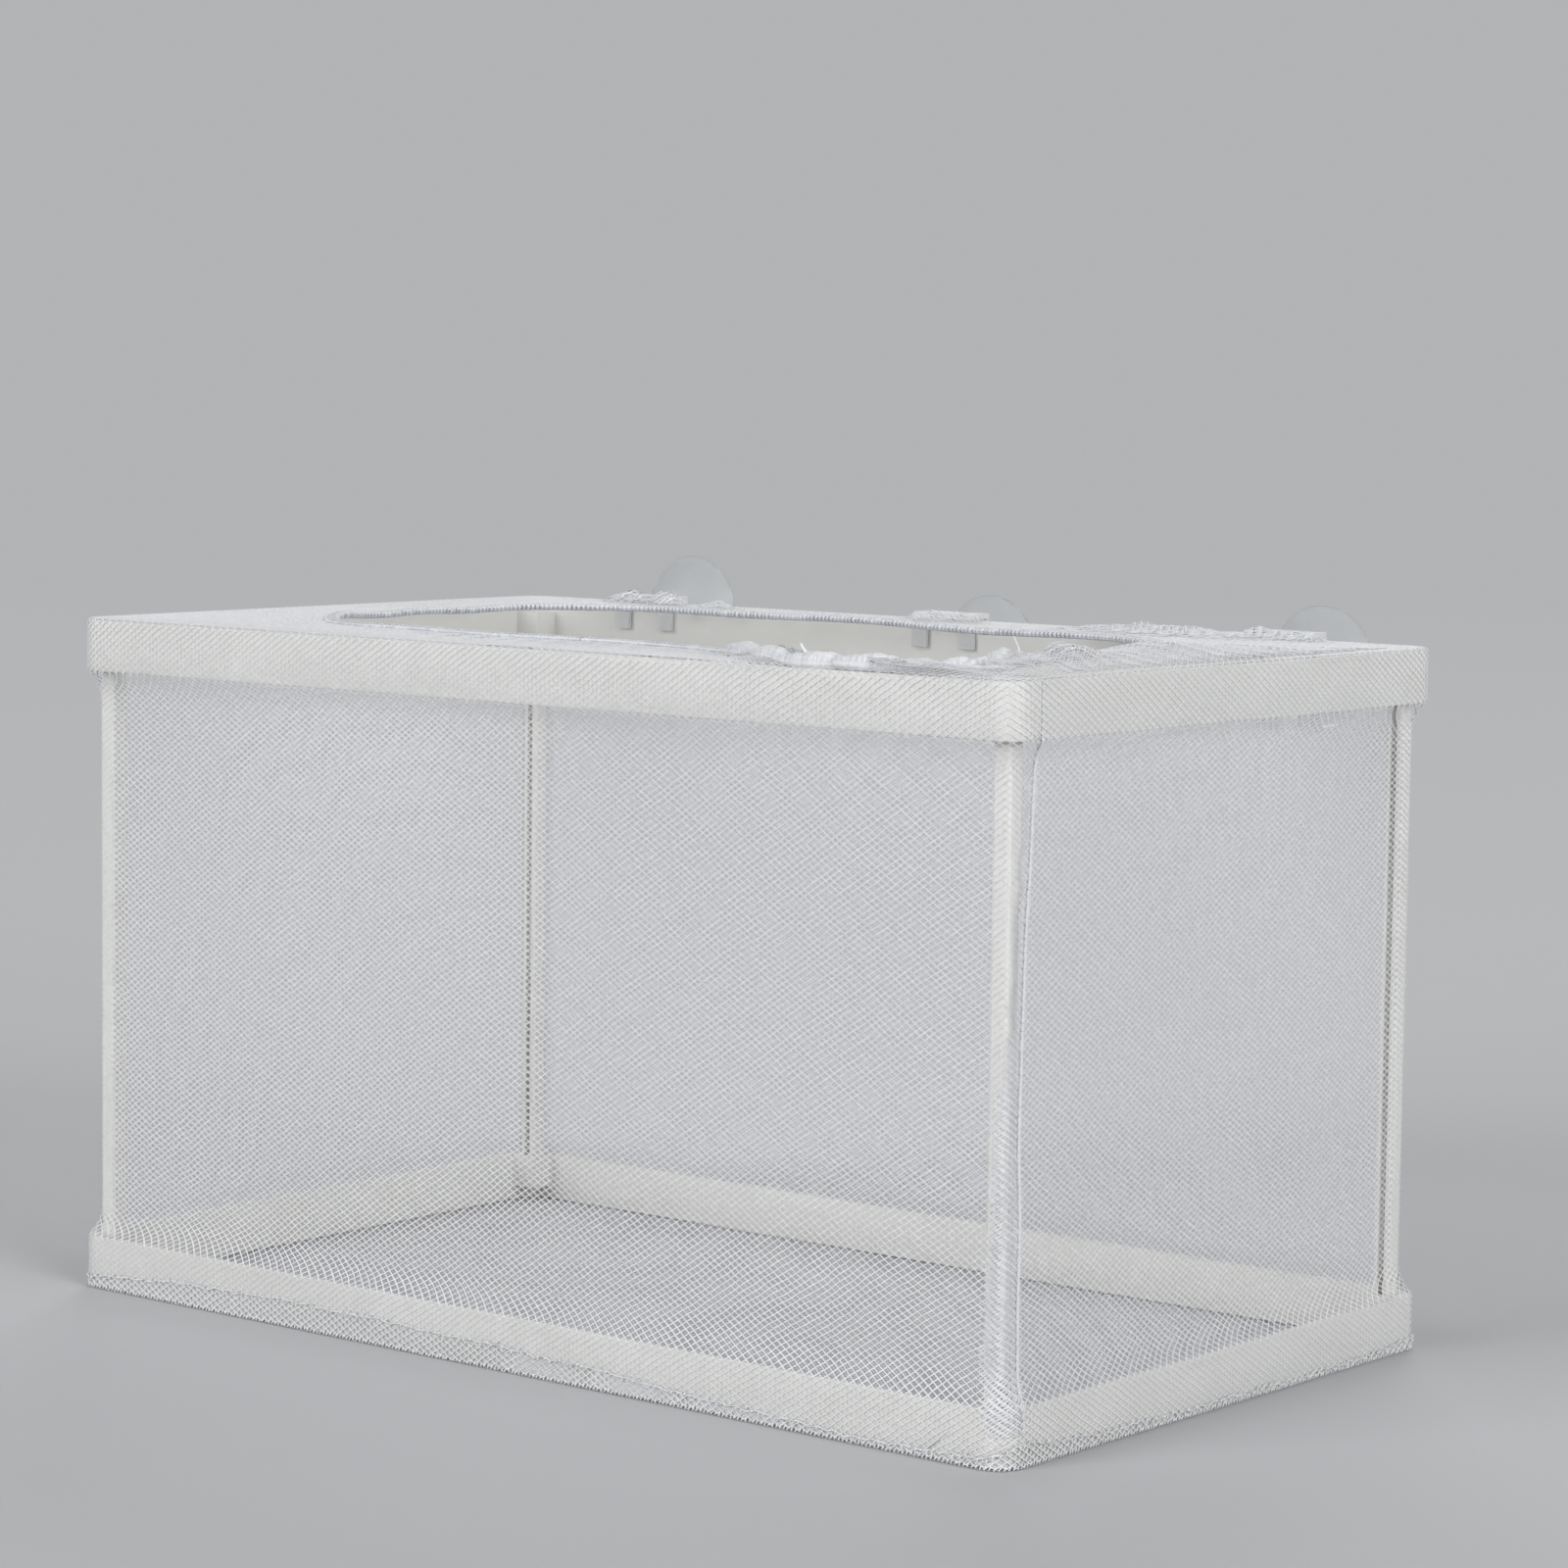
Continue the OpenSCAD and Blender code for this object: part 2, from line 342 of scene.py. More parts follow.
def waves(u: Values, v: Values, seed: int, scale: float, count: int = 6) -> Values:
    """Smooth random values, mostly between -1 and 1, over a surface.

    Args:
        u: places across.
        v: places up.
        seed: sets which values come.
        scale: distance between bumps.
        count: how many plane waves are summed.

    Returns:
        One value for each place.
    """
    source = np.random.default_rng(int(seed))
    total = np.zeros(np.broadcast(u, v).shape)
    for _ in range(count):
        turn, phase = source.uniform(0, 2 * math.pi, 2)
        length = scale * source.uniform(0.7, 1.6)
        total += np.sin((u * math.cos(turn) + v * math.sin(turn)) * 2 * math.pi / length + phase)
    return total / math.sqrt(count) * 0.9


def ring_waves(turn: Values, seed: int, lowest: int, highest: int, count: int = 8) -> Values:
    """Smooth random values, mostly between -1 and 1, round a closed line.

    Args:
        turn: places round the line, from 0 to 1.
        seed: sets which values come.
        lowest: fewest bumps round the line.
        highest: most bumps round the line.
        count: how many waves are summed.

    Returns:
        One value for each place.
    """
    source = np.random.default_rng(int(seed))
    total = np.zeros_like(turn)
    for _ in range(count):
        phase = source.uniform(0, 2 * math.pi)
        total += np.sin(turn * 2 * math.pi * source.integers(lowest, highest + 1) + phase)
    return total / math.sqrt(count)


# ---------------------------------------------------------------- finishes


class Nodes:
    """A node tree's nodes, added and joined in few words."""

    def __init__(self, tree: bpy.types.NodeTree) -> None:
        """Empties a node tree.

        Args:
            tree: the node tree of a material or a world.
        """
        self.nodes = tree.nodes
        self.links = tree.links
        self.nodes.clear()

    def add(self, kind: str, inputs: dict | None = None, **settings: object) -> bpy.types.Node:
        """Adds a node.

        Args:
            kind: the node's type, without ShaderNode.
            inputs: a value or an output for each named or numbered input.
            settings: the node's own properties.

        Returns:
            The new node.
        """
        node = self.nodes.new("ShaderNode" + kind)
        for key, value in settings.items():
            setattr(node, key, value)
        for key, value in (inputs or {}).items():
            self.fill(node.inputs[key], value)
        return node

    def fill(self, socket: Socket, value: object) -> None:
        """Sets a socket or links it.

        Args:
            socket: an input.
            value: a value, a colour or an output.
        """
        if isinstance(value, Socket):
            self.links.new(value, socket)
        elif socket.type == "RGBA":
            socket.default_value = (*value, 1.0)
        else:
            socket.default_value = value

    def math(self, operation: str, first: object, second: object = 0.0) -> Socket:
        """Returns the result of a Math node."""
        return self.add("Math", {0: first, 1: second}, operation=operation).outputs["Value"]

    def seen(self) -> Socket:
        """Tells what the camera sees, straight or by way of gloss or clear plastic, as 1.

        Returns:
            The output.
        """
        path = self.add("LightPath")
        seen = path.outputs["Is Camera Ray"]
        for other in ("Is Glossy Ray", "Is Transmission Ray"):
            seen = self.math("MAXIMUM", seen, path.outputs[other])
        return seen

    def mix(self, factor: Socket, first: Socket, second: Socket) -> Socket:
        """Returns a mix of two shaders: the first where the factor is 0."""
        return self.add("MixShader", {0: factor, 1: first, 2: second}).outputs["Shader"]


class Graph(Nodes):
    """A material, from its coordinates to its shader."""

    def __init__(self, name: str) -> None:
        """Starts a material.

        Args:
            name: the material's name.
        """
        self.material = bpy.data.materials.new(name)
        self.material.use_nodes = True
        super().__init__(self.material.node_tree)
        self.shader = self.add("BsdfPrincipled")
        self.surface = self.add("OutputMaterial").inputs["Surface"]
        self.links.new(self.shader.outputs["BSDF"], self.surface)

    def place(self) -> Socket:
        """Returns Object coordinates, in metres."""
        return self.add("TexCoord").outputs["Object"]

    def cloth(self) -> Socket:
        """Returns the piece's own UV map, in millimetres along and across."""
        return self.add("UVMap", uv_map="cloth").outputs["UV"]

    def amount(self, name: str) -> Socket:
        """Returns a float attribute of the piece."""
        return self.add("Attribute", attribute_name=name).outputs["Fac"]

    def noise(self, where: Socket, scale: float, detail: float = 2.0) -> Socket:
        """Returns a noise texture's factor, with its bumps for each unit and its finer layers."""
        return self.add("TexNoise", {"Vector": where, "Scale": scale, "Detail": detail}).outputs["Fac"]

    def stretch(self, where: Socket, scale: tuple[float, float, float]) -> Socket:
        """Returns coordinates scaled along each axis."""
        return self.add("Mapping", {"Vector": where, "Scale": scale}).outputs["Vector"]

    def spread(self, value: Socket, low: float, high: float,
               to_low: float = 0.0, to_high: float = 1.0) -> Socket:
        """Returns a value mapped from one range onto another, and clamped."""
        inputs = {"Value": value, "From Min": low, "From Max": high, "To Min": to_low, "To Max": to_high}
        return self.add("MapRange", inputs).outputs["Result"]

    def blend(self, factor: Socket, first: object, second: object) -> Socket:
        """Returns a mix of two colours or outputs: the first where the factor is 0."""
        return self.add("Mix", {0: factor, 6: first, 7: second}, data_type="RGBA").outputs[2]

    def crossing(self, u: Socket, v: Socket, turn: float) -> list[Socket]:
        """Returns two sets of slanting waves that cross each other, turning that far in a millimetre."""
        slants = (self.math(way, u, v) for way in ("ADD", "SUBTRACT"))
        return [self.math("SINE", self.math("MULTIPLY", slant, turn)) for slant in slants]

    def bump(self, height: Socket, distance: float, strength: float,
             under: Socket | None = None) -> Socket:
        """Turns a height into a bump.

        Args:
            height: the height's output, from 0 to 1.
            distance: what a height of 1 is, in metres.
            strength: how much of the bump shows.
            under: a bump that this one lies on.

        Returns:
            The normal's output.
        """
        inputs = {"Height": height, "Distance": distance, "Strength": strength}
        if under is not None:
            inputs["Normal"] = under
        return self.add("Bump", inputs).outputs["Normal"]

    def finish(self, **inputs: object) -> Material:
        """Sets the shader's inputs.

        Args:
            inputs: values or outputs, named as the sockets with _ for a space.

        Returns:
            The material.
        """
        for key, value in inputs.items():
            self.fill(self.shader.inputs[key.replace("_", " ")], value)
        return self.material


@dataclass(frozen=True)
class NetThreadFinish:
    """White nylon thread: round, a little uneven, with painted shade that darkens each thread's edges
    beside the holes.
    """

    bright: Colour = (0.84, 0.845, 0.865)
    dull: Colour = (0.765, 0.77, 0.795)
    shade: Colour = (0.60, 0.605, 0.64)
    # Painted shade colour for the threads' edges beside the holes.
    edge: Colour = (0.70, 0.705, 0.735)
    roughness: float = 0.55

    def material(self) -> Material:
        """Builds the material.

        Returns:
            The material.
        """
        graph = Graph("net_thread")
        where = graph.place()
        patches = graph.spread(graph.noise(where, 420, 3), 0.35, 0.7)
        fibre = graph.noise(where, 6500, 2)
        grain = graph.noise(where, 1300, 2)
        colour = graph.blend(patches, self.bright, self.dull)
        colour = graph.blend(graph.spread(grain, 0.46, 0.66, 0, 0.8), colour, self.shade)
        colour = graph.blend(graph.spread(fibre, 0.45, 0.8, 0, 0.5), colour, self.dull)
        # Painted shade: towards the holes each thread is darkened to the edge colour, as a round
        # thread's sides would be shaded.
        colour = graph.blend(graph.spread(graph.amount("across"), 0.35, 1.0, 0, 0.75), colour, self.edge)
        rough = graph.spread(fibre, 0.3, 0.7, self.roughness - 0.08, self.roughness + 0.12)
        return graph.finish(
            Base_Color=colour, Roughness=rough, Specular_IOR_Level=0.25,
            Sheen_Weight=0.08, Sheen_Roughness=0.5, Normal=graph.bump(fibre, 0.00004, 0.5),
        )


@dataclass(frozen=True)
class MouldedPlasticFinish:
    """Off-white moulded plastic with faint flow marks, pores and rubbed patches."""

    name: str = "frame_plastic"
    body: Colour = (0.765, 0.758, 0.725)
    shade: Colour = (0.72, 0.712, 0.676)
    rubbed: Colour = (0.80, 0.795, 0.775)
    roughness: float = 0.56

    def material(self) -> Material:
        """Builds the material.

        Returns:
            The material.
        """
        graph = Graph(self.name)
        where = graph.place()
        flow = graph.noise(graph.stretch(where, (1, 1, 3.2)), 46, 4)
        pores = graph.noise(where, 2600, 2)
        rubs = graph.spread(graph.noise(where, 190, 5), 0.56, 0.74)
        colour = graph.blend(graph.spread(flow, 0.35, 0.7), self.body, self.shade)
        colour = graph.blend(graph.math("MULTIPLY", rubs, 0.55), colour, self.rubbed)
        marks = graph.math("ADD", flow, rubs)
        rough = graph.spread(marks, 0.3, 1.4, self.roughness - 0.07, self.roughness + 0.15)
        skin = graph.bump(flow, 0.00012, 0.5)
        return graph.finish(
            Base_Color=colour, Roughness=rough, IOR=1.42, Normal=graph.bump(pores, 0.00002, 0.5, skin),
        )


@dataclass(frozen=True)
class HemFabricFinish:
    """Net rolled over several times and drawn into creases, with painted shade in its pinholes, along
    its creases and in its stitch holes.
    """

    name: str = "hem_fabric"
    thread: Colour = (0.80, 0.81, 0.835)
    # Painted shade colours for the pinholes and for the creases.
    pinhole_shade: Colour = (0.22, 0.235, 0.28)
    crease_shade: Colour = (0.62, 0.635, 0.67)
    pitch: float = 1.0
    stitch_rows: tuple[float, ...] = (0.2, 1.5, 2.8)
    stitch_pitch: float = 1.1

    def stitch_hole_shadows(self, graph: Graph, cloth: Socket, u: Socket) -> Socket:
        """Paints shade into the holes of a row of stitches, worn in places.

        Args:
            graph: the material.
            cloth: the coordinates.
            u: places along the row.

        Returns:
            The output, 1 in a hole.
        """
        beat = graph.math("SINE", graph.math("MULTIPLY", u, 2 * math.pi / self.stitch_pitch))
        wear = graph.noise(graph.stretch(cloth, (0.09, 0.6, 1)), 1.0, 2)
        worn = graph.spread(wear, 0.36, 0.6, 0.3, 1)
        return graph.math("MULTIPLY", graph.spread(beat, -0.15, 0.3, 0, 0.85), worn)

    def material(self) -> Material:
        """Builds the material.

        Returns:
            The material.
        """
        graph = Graph(self.name)
        cloth = graph.cloth()
        split = graph.add("SeparateXYZ", {"Vector": cloth})
        u, v = split.outputs["X"], split.outputs["Y"]
        crossing = graph.crossing(u, v, 2 * math.pi / self.pitch)
        weave = graph.spread(graph.math("MULTIPLY", *crossing), -0.75, 0.75)
        folds = graph.noise(graph.stretch(cloth, (1.3, 0.16, 1)), 1.0, 3)
        uneven = graph.spread(graph.noise(cloth, 0.5, 2), 0.35, 0.65, 0.15, 0.85)
        # Painted shade: the weave's holes are darkened as if one looked into the shaded inside of the
        # roll.
        shaded_holes = graph.math("MULTIPLY", graph.spread(weave, 0.5, 0.88), uneven)
        # Painted shade: the fold noise darkens the creases.
        colour = graph.blend(graph.spread(folds, 0.36, 0.66, 0, 0.75), self.thread, self.crease_shade)
        flat = graph.spread(graph.amount("drawn"), 0, 1, 1, 0.25)
        colour = graph.blend(graph.math("MULTIPLY", shaded_holes, flat), colour, self.pinhole_shade)
        # Painted shadows in the stitch holes, along each stitch row.
        if self.stitch_rows:
            stitch_hole_shadows = graph.math("MULTIPLY", self.stitch_hole_shadows(graph, cloth, u), flat)
        for row in self.stitch_rows:
            away = graph.math("ABSOLUTE", graph.math("SUBTRACT", v, row))
            line = graph.math("MULTIPLY", graph.spread(away, 0.34, 0.16), stitch_hole_shadows)
            colour = graph.blend(line, colour, self.pinhole_shade)
        crumple = graph.bump(folds, 0.0006, 0.7)
        return graph.finish(
            Base_Color=colour, Roughness=0.65, Specular_IOR_Level=0.25,
            Sheen_Weight=0.1, Sheen_Roughness=0.5, Normal=graph.bump(weave, 0.0002, 0.5, crumple),
        )


@dataclass(frozen=True)
class StitchFinish:
    """Twisted sewing thread, whiter and glossier than the net."""

    thread: Colour = (0.87, 0.875, 0.88)
    shade: Colour = (0.66, 0.67, 0.70)

    def material(self) -> Material:
        """Builds the material.

        Returns:
            The material.
        """
        graph = Graph("sewing_thread")
        where = graph.place()
        twist = graph.noise(graph.stretch(where, (1, 1, 1.6)), 4200, 2)
        patches = graph.noise(where, 600, 2)
        colour = graph.blend(graph.spread(twist, 0.4, 0.7), self.thread, self.shade)
        colour = graph.blend(graph.spread(patches, 0.5, 0.75, 0, 0.4), colour, self.shade)
        return graph.finish(
            Base_Color=colour, Roughness=graph.spread(patches, 0.3, 0.7, 0.34, 0.5),
            Sheen_Weight=0.1, Normal=graph.bump(twist, 0.00006, 0.6),
        )


@dataclass(frozen=True)
class ElasticFinish:
    """Braided elastic cord, with a herringbone of covered strands and painted shade in the gaps between
    them.
    """

    cover: Colour = (0.85, 0.85, 0.84)
    gap_shade: Colour = (0.48, 0.48, 0.47)
    strands: float = 9.0

    def material(self) -> Material:
        """Builds the material.

        Returns:
            The material.
        """
        graph = Graph("braided_elastic")
        cloth = graph.cloth()
        split = graph.add("SeparateXYZ", {"Vector": cloth})
        crossing = graph.crossing(split.outputs["X"], split.outputs["Y"], self.strands)
        braid = graph.math("MAXIMUM", *crossing)
        lint = graph.noise(cloth, 6, 2)
        # Painted shade in the gaps between the strands.
        colour = graph.blend(graph.spread(braid, 0.1, 0.8), self.gap_shade, self.cover)
        return graph.finish(
            Base_Color=colour, Roughness=graph.spread(lint, 0.3, 0.7, 0.5, 0.7),
            Sheen_Weight=0.2, Normal=graph.bump(braid, 0.00012, 0.7),
        )


class ClearKind(Enum):
    """The two clear plastics."""

    HARD = "clear_hook_plastic"
    SOFT = "clear_cup_vinyl"


@dataclass(frozen=True)
class ClearPlasticFinish:
    """Clear plastic with faint haze, ripples and finger marks."""

    kind: ClearKind
    tint: Colour
    ior: float
    roughness: float
    clear: float

    def material(self) -> Material:
        """Builds the material.

        Returns:
            The material.
        """
        graph = Graph(self.kind.value)
        where = graph.place()
        marks = graph.noise(where, 240, 4)
        ripple = graph.noise(where, 95, 3)
        haze = graph.spread(graph.noise(where, 700, 3), 0.45, 0.8, 0, 0.5)
        colour = graph.blend(haze, self.tint, tuple(c * 0.9 for c in self.tint))
        rough = graph.spread(marks, 0.42, 0.72, self.roughness, self.roughness + 0.16)
        return graph.finish(
            Base_Color=colour, Roughness=rough, IOR=self.ior, Transmission_Weight=self.clear,
            Specular_IOR_Level=0.3, Normal=graph.bump(ripple, 0.0003, 0.35),
        )


# Painted shade: a darker copy of the frame plastic for the lower rail ring, standing in for the lower
# rail getting less light than the upper one.
SHADED_LOWER_PLASTIC = MouldedPlasticFinish(
    name="shaded_lower_frame_plastic",
    body=(0.70, 0.694, 0.664),
    shade=(0.655, 0.648, 0.615),
    rubbed=(0.735, 0.73, 0.712),
)
# The seams use this finish with lighter painted shade in their pinholes and creases.
SEAM_FABRIC = HemFabricFinish(
    name="seam_fabric",
    thread=(0.82, 0.825, 0.845),
    pinhole_shade=(0.56, 0.575, 0.61),
    crease_shade=(0.73, 0.74, 0.765),
    stitch_rows=(),
)
HOOK_PLASTIC = ClearPlasticFinish(
    kind=ClearKind.HARD,
    tint=(0.88, 0.885, 0.88),
    ior=1.3,
    roughness=0.45,
    clear=0.4,
)
CUP_VINYL = ClearPlasticFinish(
    kind=ClearKind.SOFT,
    tint=(0.91, 0.925, 0.93),
    ior=1.36,
    roughness=0.38,
    clear=0.95,
)


@dataclass
class Wardrobe:
    """All of the box's materials, each made once."""

    net: Material = field(default_factory=NetThreadFinish().material)
    plastic: Material = field(default_factory=MouldedPlasticFinish().material)
    shaded_lower_plastic: Material = field(default_factory=SHADED_LOWER_PLASTIC.material)
    hem: Material = field(default_factory=HemFabricFinish().material)
    seam: Material = field(default_factory=SEAM_FABRIC.material)
    stitch: Material = field(default_factory=StitchFinish().material)
    elastic: Material = field(default_factory=ElasticFinish().material)
    hook: Material = field(default_factory=HOOK_PLASTIC.material)
    cup: Material = field(default_factory=CUP_VINYL.material)


def dress(obj: Piece, material: Material, body: str, slot: str, *replaced: str) -> Piece:
    """Gives a piece its finish and its body, and hides the nodes that it stands for.

    Args:
        obj: the piece.
        material: its finish.
        body: the CAD body that it rides on.
        slot: the record's material slot; not used.
        replaced: CAD nodes that it stands for.

    Returns:
        The same piece.
    """
    obj.data.materials.clear()
    obj.data.materials.append(material)
    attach(obj, body)
    if replaced:
        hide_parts(*replaced)
    LOG.info("%s: %d vertices on %s", obj.name, len(obj.data.vertices), body)
    return obj


# ---------------------------------------------------------------- outlines


def places_round(count: int) -> Values:
    """Returns evenly spaced places round a closed outline, in eighths of a turn."""
    return np.arange(count) * 8 / count


@dataclass(frozen=True)
class Outline:
    """A rectangle with round corners, walked from the middle of the front to the right."""

    half_x: float
    half_y: float
    radius: float

    @property
    def steps(self) -> tuple[float, float]:
        """Lengths from the middle of a front and of an end side to the middle of a corner."""
        arc = self.radius * math.pi / 4
        return self.half_x - self.radius + arc, self.half_y - self.radius + arc

    @property
    def length(self) -> float:
        """Length all round."""
        return 4 * sum(self.steps)

    def marks(self) -> Values:
        """Returns the lengths at the eight middles of sides and corners, and the end."""
        long, short = self.steps
        return np.cumsum([0, long, short, short, long, long, short, short, long])

    def eighths(self, distance: Values) -> Values:
        """Turns lengths round the outline into eighths of a turn, from 0 to 8."""
        return np.interp(np.mod(distance, self.length), self.marks(), np.arange(9))

    def at(self, eighths: Values) -> Points:
        """Gives the points at some eighths of a turn.

        Args:
            eighths: places round the outline, 0 at the front's middle and 1 at the front right corner.

        Returns:
            Rows of x, y.
        """
        eighths = np.mod(eighths, 8)
        sector = np.minimum(eighths.astype(int), 7)
        part = eighths - sector
        long = np.isin(sector, (0, 3, 4, 7))
        reach = np.where(sector % 2 == 0, part, 1 - part) * np.where(long, *self.steps)
        straight = np.where(long, self.half_x, self.half_y) - self.radius
        angle = np.maximum(reach - straight, 0) / self.radius
        along = np.minimum(reach, straight) + self.radius * np.sin(angle)
        out = np.where(long, self.half_y, self.half_x) - self.radius * (1 - np.cos(angle))
        x = np.where(long, along, out) * np.where(sector < 4, 1, -1)
        y = np.where(long, out, along) * np.where((sector > 1) & (sector < 6), 1, -1)
        return np.column_stack([x, y])

    def grown(self, amount: float) -> "Outline":
        """Returns the outline moved outwards."""
        return Outline(self.half_x + amount, self.half_y + amount, self.radius + amount)


# ---------------------------------------------------------------- net bag


class Meshes(Protocol):
    """Tells which of a flat net's meshes there are."""

    @property
    def bounds(self) -> Bounds:
        """The box that holds the meshes: lowest and highest place each way."""

    def __call__(self, along: Values, up: Values) -> Values:
        """Tells from the meshes' middles which ones there are."""


class Layer(Meshes, Protocol):
    """Meshes of a doubled fold, which lies on the net in its own way."""

    offset: tuple[float, float]

    def carry(self, along: Values, up: Values) -> Points:
        """Carries the fold onto the bag."""


class Side(Enum):
    """The bag's walls, each with its node and its corners, as eighths of a turn."""

    FRONT = ("net_front_wall", 7.0, 9.0)
    RIGHT = ("net_right_wall", 1.0, 3.0)
    BACK = ("net_back_wall", 3.0, 5.0)
    LEFT = ("net_left_wall", 5.0, 7.0)


class Pull(Enum):
    """Places where the mouth's line is drawn aside: eighth of a turn, reach, and how far in x and y."""

    FRONT_RIGHT = (1.03, 0.3, (22.5, -22.0))
    FRONT = (0.71, 0.22, (0.0, -13.0))
    BACK = (3.35, 0.6, (0.0, -5.0))


@dataclass(frozen=True)
class Hump:
    """A place where the net is bunched up."""

    x: float
    y: float
    rise: float
    wide: float
    deep: float

    def height(self, plan: Points) -> Values:
        """Returns its height at some places."""
        across, inward = ((plan - (self.x, self.y)) / (self.wide, self.deep)).T
        return self.rise * np.exp(-(across ** 2) - inward ** 2)


FLAP_HUMPS = (
    Hump(111, -37, 2.2, 6, 8),
    Hump(107, -3, 0.8, 7, 8),
    Hump(67, -63, 2.0, 5.5, 6),
    Hump(62, 64, 1.5, 22, 7),
    Hump(-64, 68, 1.2, 5, 3),
)
HOOK_HUMP_RISES = {"left": (2.0, 0.8, 2.7), "middle": (1.0, 1.2, 1.0), "right": (0.8, 1.0, 1.0)}
HOOK_HUMP_WIDTHS = (4.6, 5, 4.4)
HOOK_HUMP_DEPTH = 2.8

# Eighths of a turn round the lower rail, and the floor seam's height there.
FLOOR_SEAM_LEVELS: Table = (
    (0, 5.3), (0.26, 3.9), (0.6, 2.1), (0.86, 1.5), (0.97, 2.4), (1.04, 4.6), (1.12, 4.5),
    (1.25, 3.2), (1.4, 2.4), (1.65, 2.0), (2.1, 1.5), (2.7, 1.4), (3.2, 3.6), (4, 6.0), (5, 5.8),
    (6, 5.9), (6.85, 4.2), (7.0, 2.4), (7.24, 5.0), (7.5, 5.8), (8, 5.3),
)
# Heights up the right wall, and how far past the corner the side seam lies there.
SIDE_SEAM_LEAN: Table = (
    (0, 4.9), (24, 4.85), (53, 4.5), (66, 4.35), (78, 4.4), (94, 5.25),
    (106, 5.8), (112, 6.1), (118, 6.6), (127, 7.3), (200, 7.4),
)
# Heights up the right wall, and the width of the side seam's folded edge there.
FOLD_WIDTHS: Table = ((7, 9.4), (30, 8.6), (60, 7.0), (90, 3.8), (115, 2.9), (127, 2.7), (134, 2.3))


@dataclass
class NetBag:
    """The bag: one strip of diamond net round the frame and over the top rail, and a floor panel.

    The strip is laid out flat as length round the rails and height, and then carried onto its
    place: flat on the rails, drawn in to the posts between them, folded over the top and
    gathered towards the mouth.
    """

    sizes: BoxSizes
    mesh: tuple[float, float] = (2.2, 1.4)
    floor_mesh: tuple[float, float] = (2.26, 1.94)
    thread: float = 0.21
    floor_thread: float = 0.27
    thread_height: float = 0.08
    post_lift: float = 0.22
    lead: float = 7.0
    lead_sway: float = 1.6
    slack: float = 0.4
    fold_radius: float = 0.7
    flap_length: float = 28.0
    hem_rise: float = 0.5
    drift: float = 0.28
    jitter: float = 0.07
    turn_up: float = 5.5
    floor_level: float = 0.18
    floor_sag: float = 0.35

    def __post_init__(self) -> None:
        """Sets up the outlines that the strip follows."""
        sizes = self.sizes
        rail = Outline(sizes.half_length, sizes.half_width, sizes.corner_radius)
        posts = Outline(sizes.post_face_x, sizes.post_face_y, sizes.post_edge_radius)
        self.rail = rail.grown(sizes.net_middle)
        self.posts = posts.grown(self.post_lift)
        low, high = node_box("mouth_elastic")
        middle = (high.z - low.z) / 2
        self.mouth = Outline(high.x - middle, high.y - middle, sizes.hem_corner_radius)
        self.corner = self.rail.marks()[1]
        self.fold_start = sizes.frame_top - 0.3
        self.fold_end = self.fold_start + self.fold_radius * math.pi / 2
        self.strip_end = self.fold_end + self.flap_length
        self.flap: Piece | None = None
        self.flap_area = 0.0

    # -- shape of the mouth

    def mouth_point(self, eighths: Values) -> Points:
        """Gives the middle of the hem.

        Args:
            eighths: places round the mouth.

        Returns:
            Rows of x, y, z.
        """
        turn = np.mod(eighths, 8) / 8
        plan = self.mouth.at(eighths)
        plan = plan * (1 + 0.004 * ring_waves(turn, Seed.MOUTH_PULL, 2, 7))[:, None]
        crowd = self.crowd(eighths)
        for middle, reach, move in (pull.value for pull in Pull):
            plan += self.bump(eighths, middle, reach)[:, None] * np.array(move)
        plan += (0.9 * crowd * ring_waves(turn, Seed.MOUTH_BUNCH, 24, 50))[:, None] * unit(plan)
        height = self.sizes.frame_top + self.hem_rise + 0.18 * ring_waves(turn, Seed.MOUTH_LEVEL, 3, 12)
        height += crowd * (0.2 + 0.25 * ring_waves(turn, Seed.MOUTH_BUNCH_LEVEL, 40, 80))
        return np.column_stack([plan, height])

    @staticmethod
    def bump(eighths: Values, middle: float, reach: float) -> Values:
        """Gives a smooth hump round one place of the outline, 1 in its middle."""
        away = np.mod(eighths - middle + 4, 8) - 4
        return np.exp(-((away / reach) ** 2))

    def crowd(self, eighths: Values) -> Values:
        """Tells how crowded the gathers are: 1 where the net is bunched, 0 where it lies flat."""
        turn = np.mod(eighths, 8)
        return ease((turn - 0.42) / 0.14) * (1 - ease((turn - 1.15) / 0.5))

    def humps(self, plan: Points) -> Values:
        """Gives the height of the humps where the net is bunched at the hooks and over the right.

        Args:
            plan: rows of x, y on the flap.

        Returns:
            One height for each row.
        """
        behind = node_box("cup_hook_left")[0].y
        spots = list(FLAP_HUMPS)
        for place, rises in HOOK_HUMP_RISES.items():
            low, high = node_box("cup_hook_" + place)
            across = (low.x + 5, (low.x + high.x) / 2 + 2, high.x + 0.6)
            spots += [Hump(x, behind - 2, rise, wide, HOOK_HUMP_DEPTH)
                      for x, rise, wide in zip(across, rises, HOOK_HUMP_WIDTHS)]
        lift = np.zeros(len(plan))
        for spot in spots:
            lift += spot.height(plan)
        crumple = 1 + 0.22 * waves(plan[:, 0], plan[:, 1], Seed.CRUMPLE, 4.5)
        return lift * crumple * (1 - ease((plan[:, 1] - behind + 1.2) / 1.2))

    # -- shape of the strip

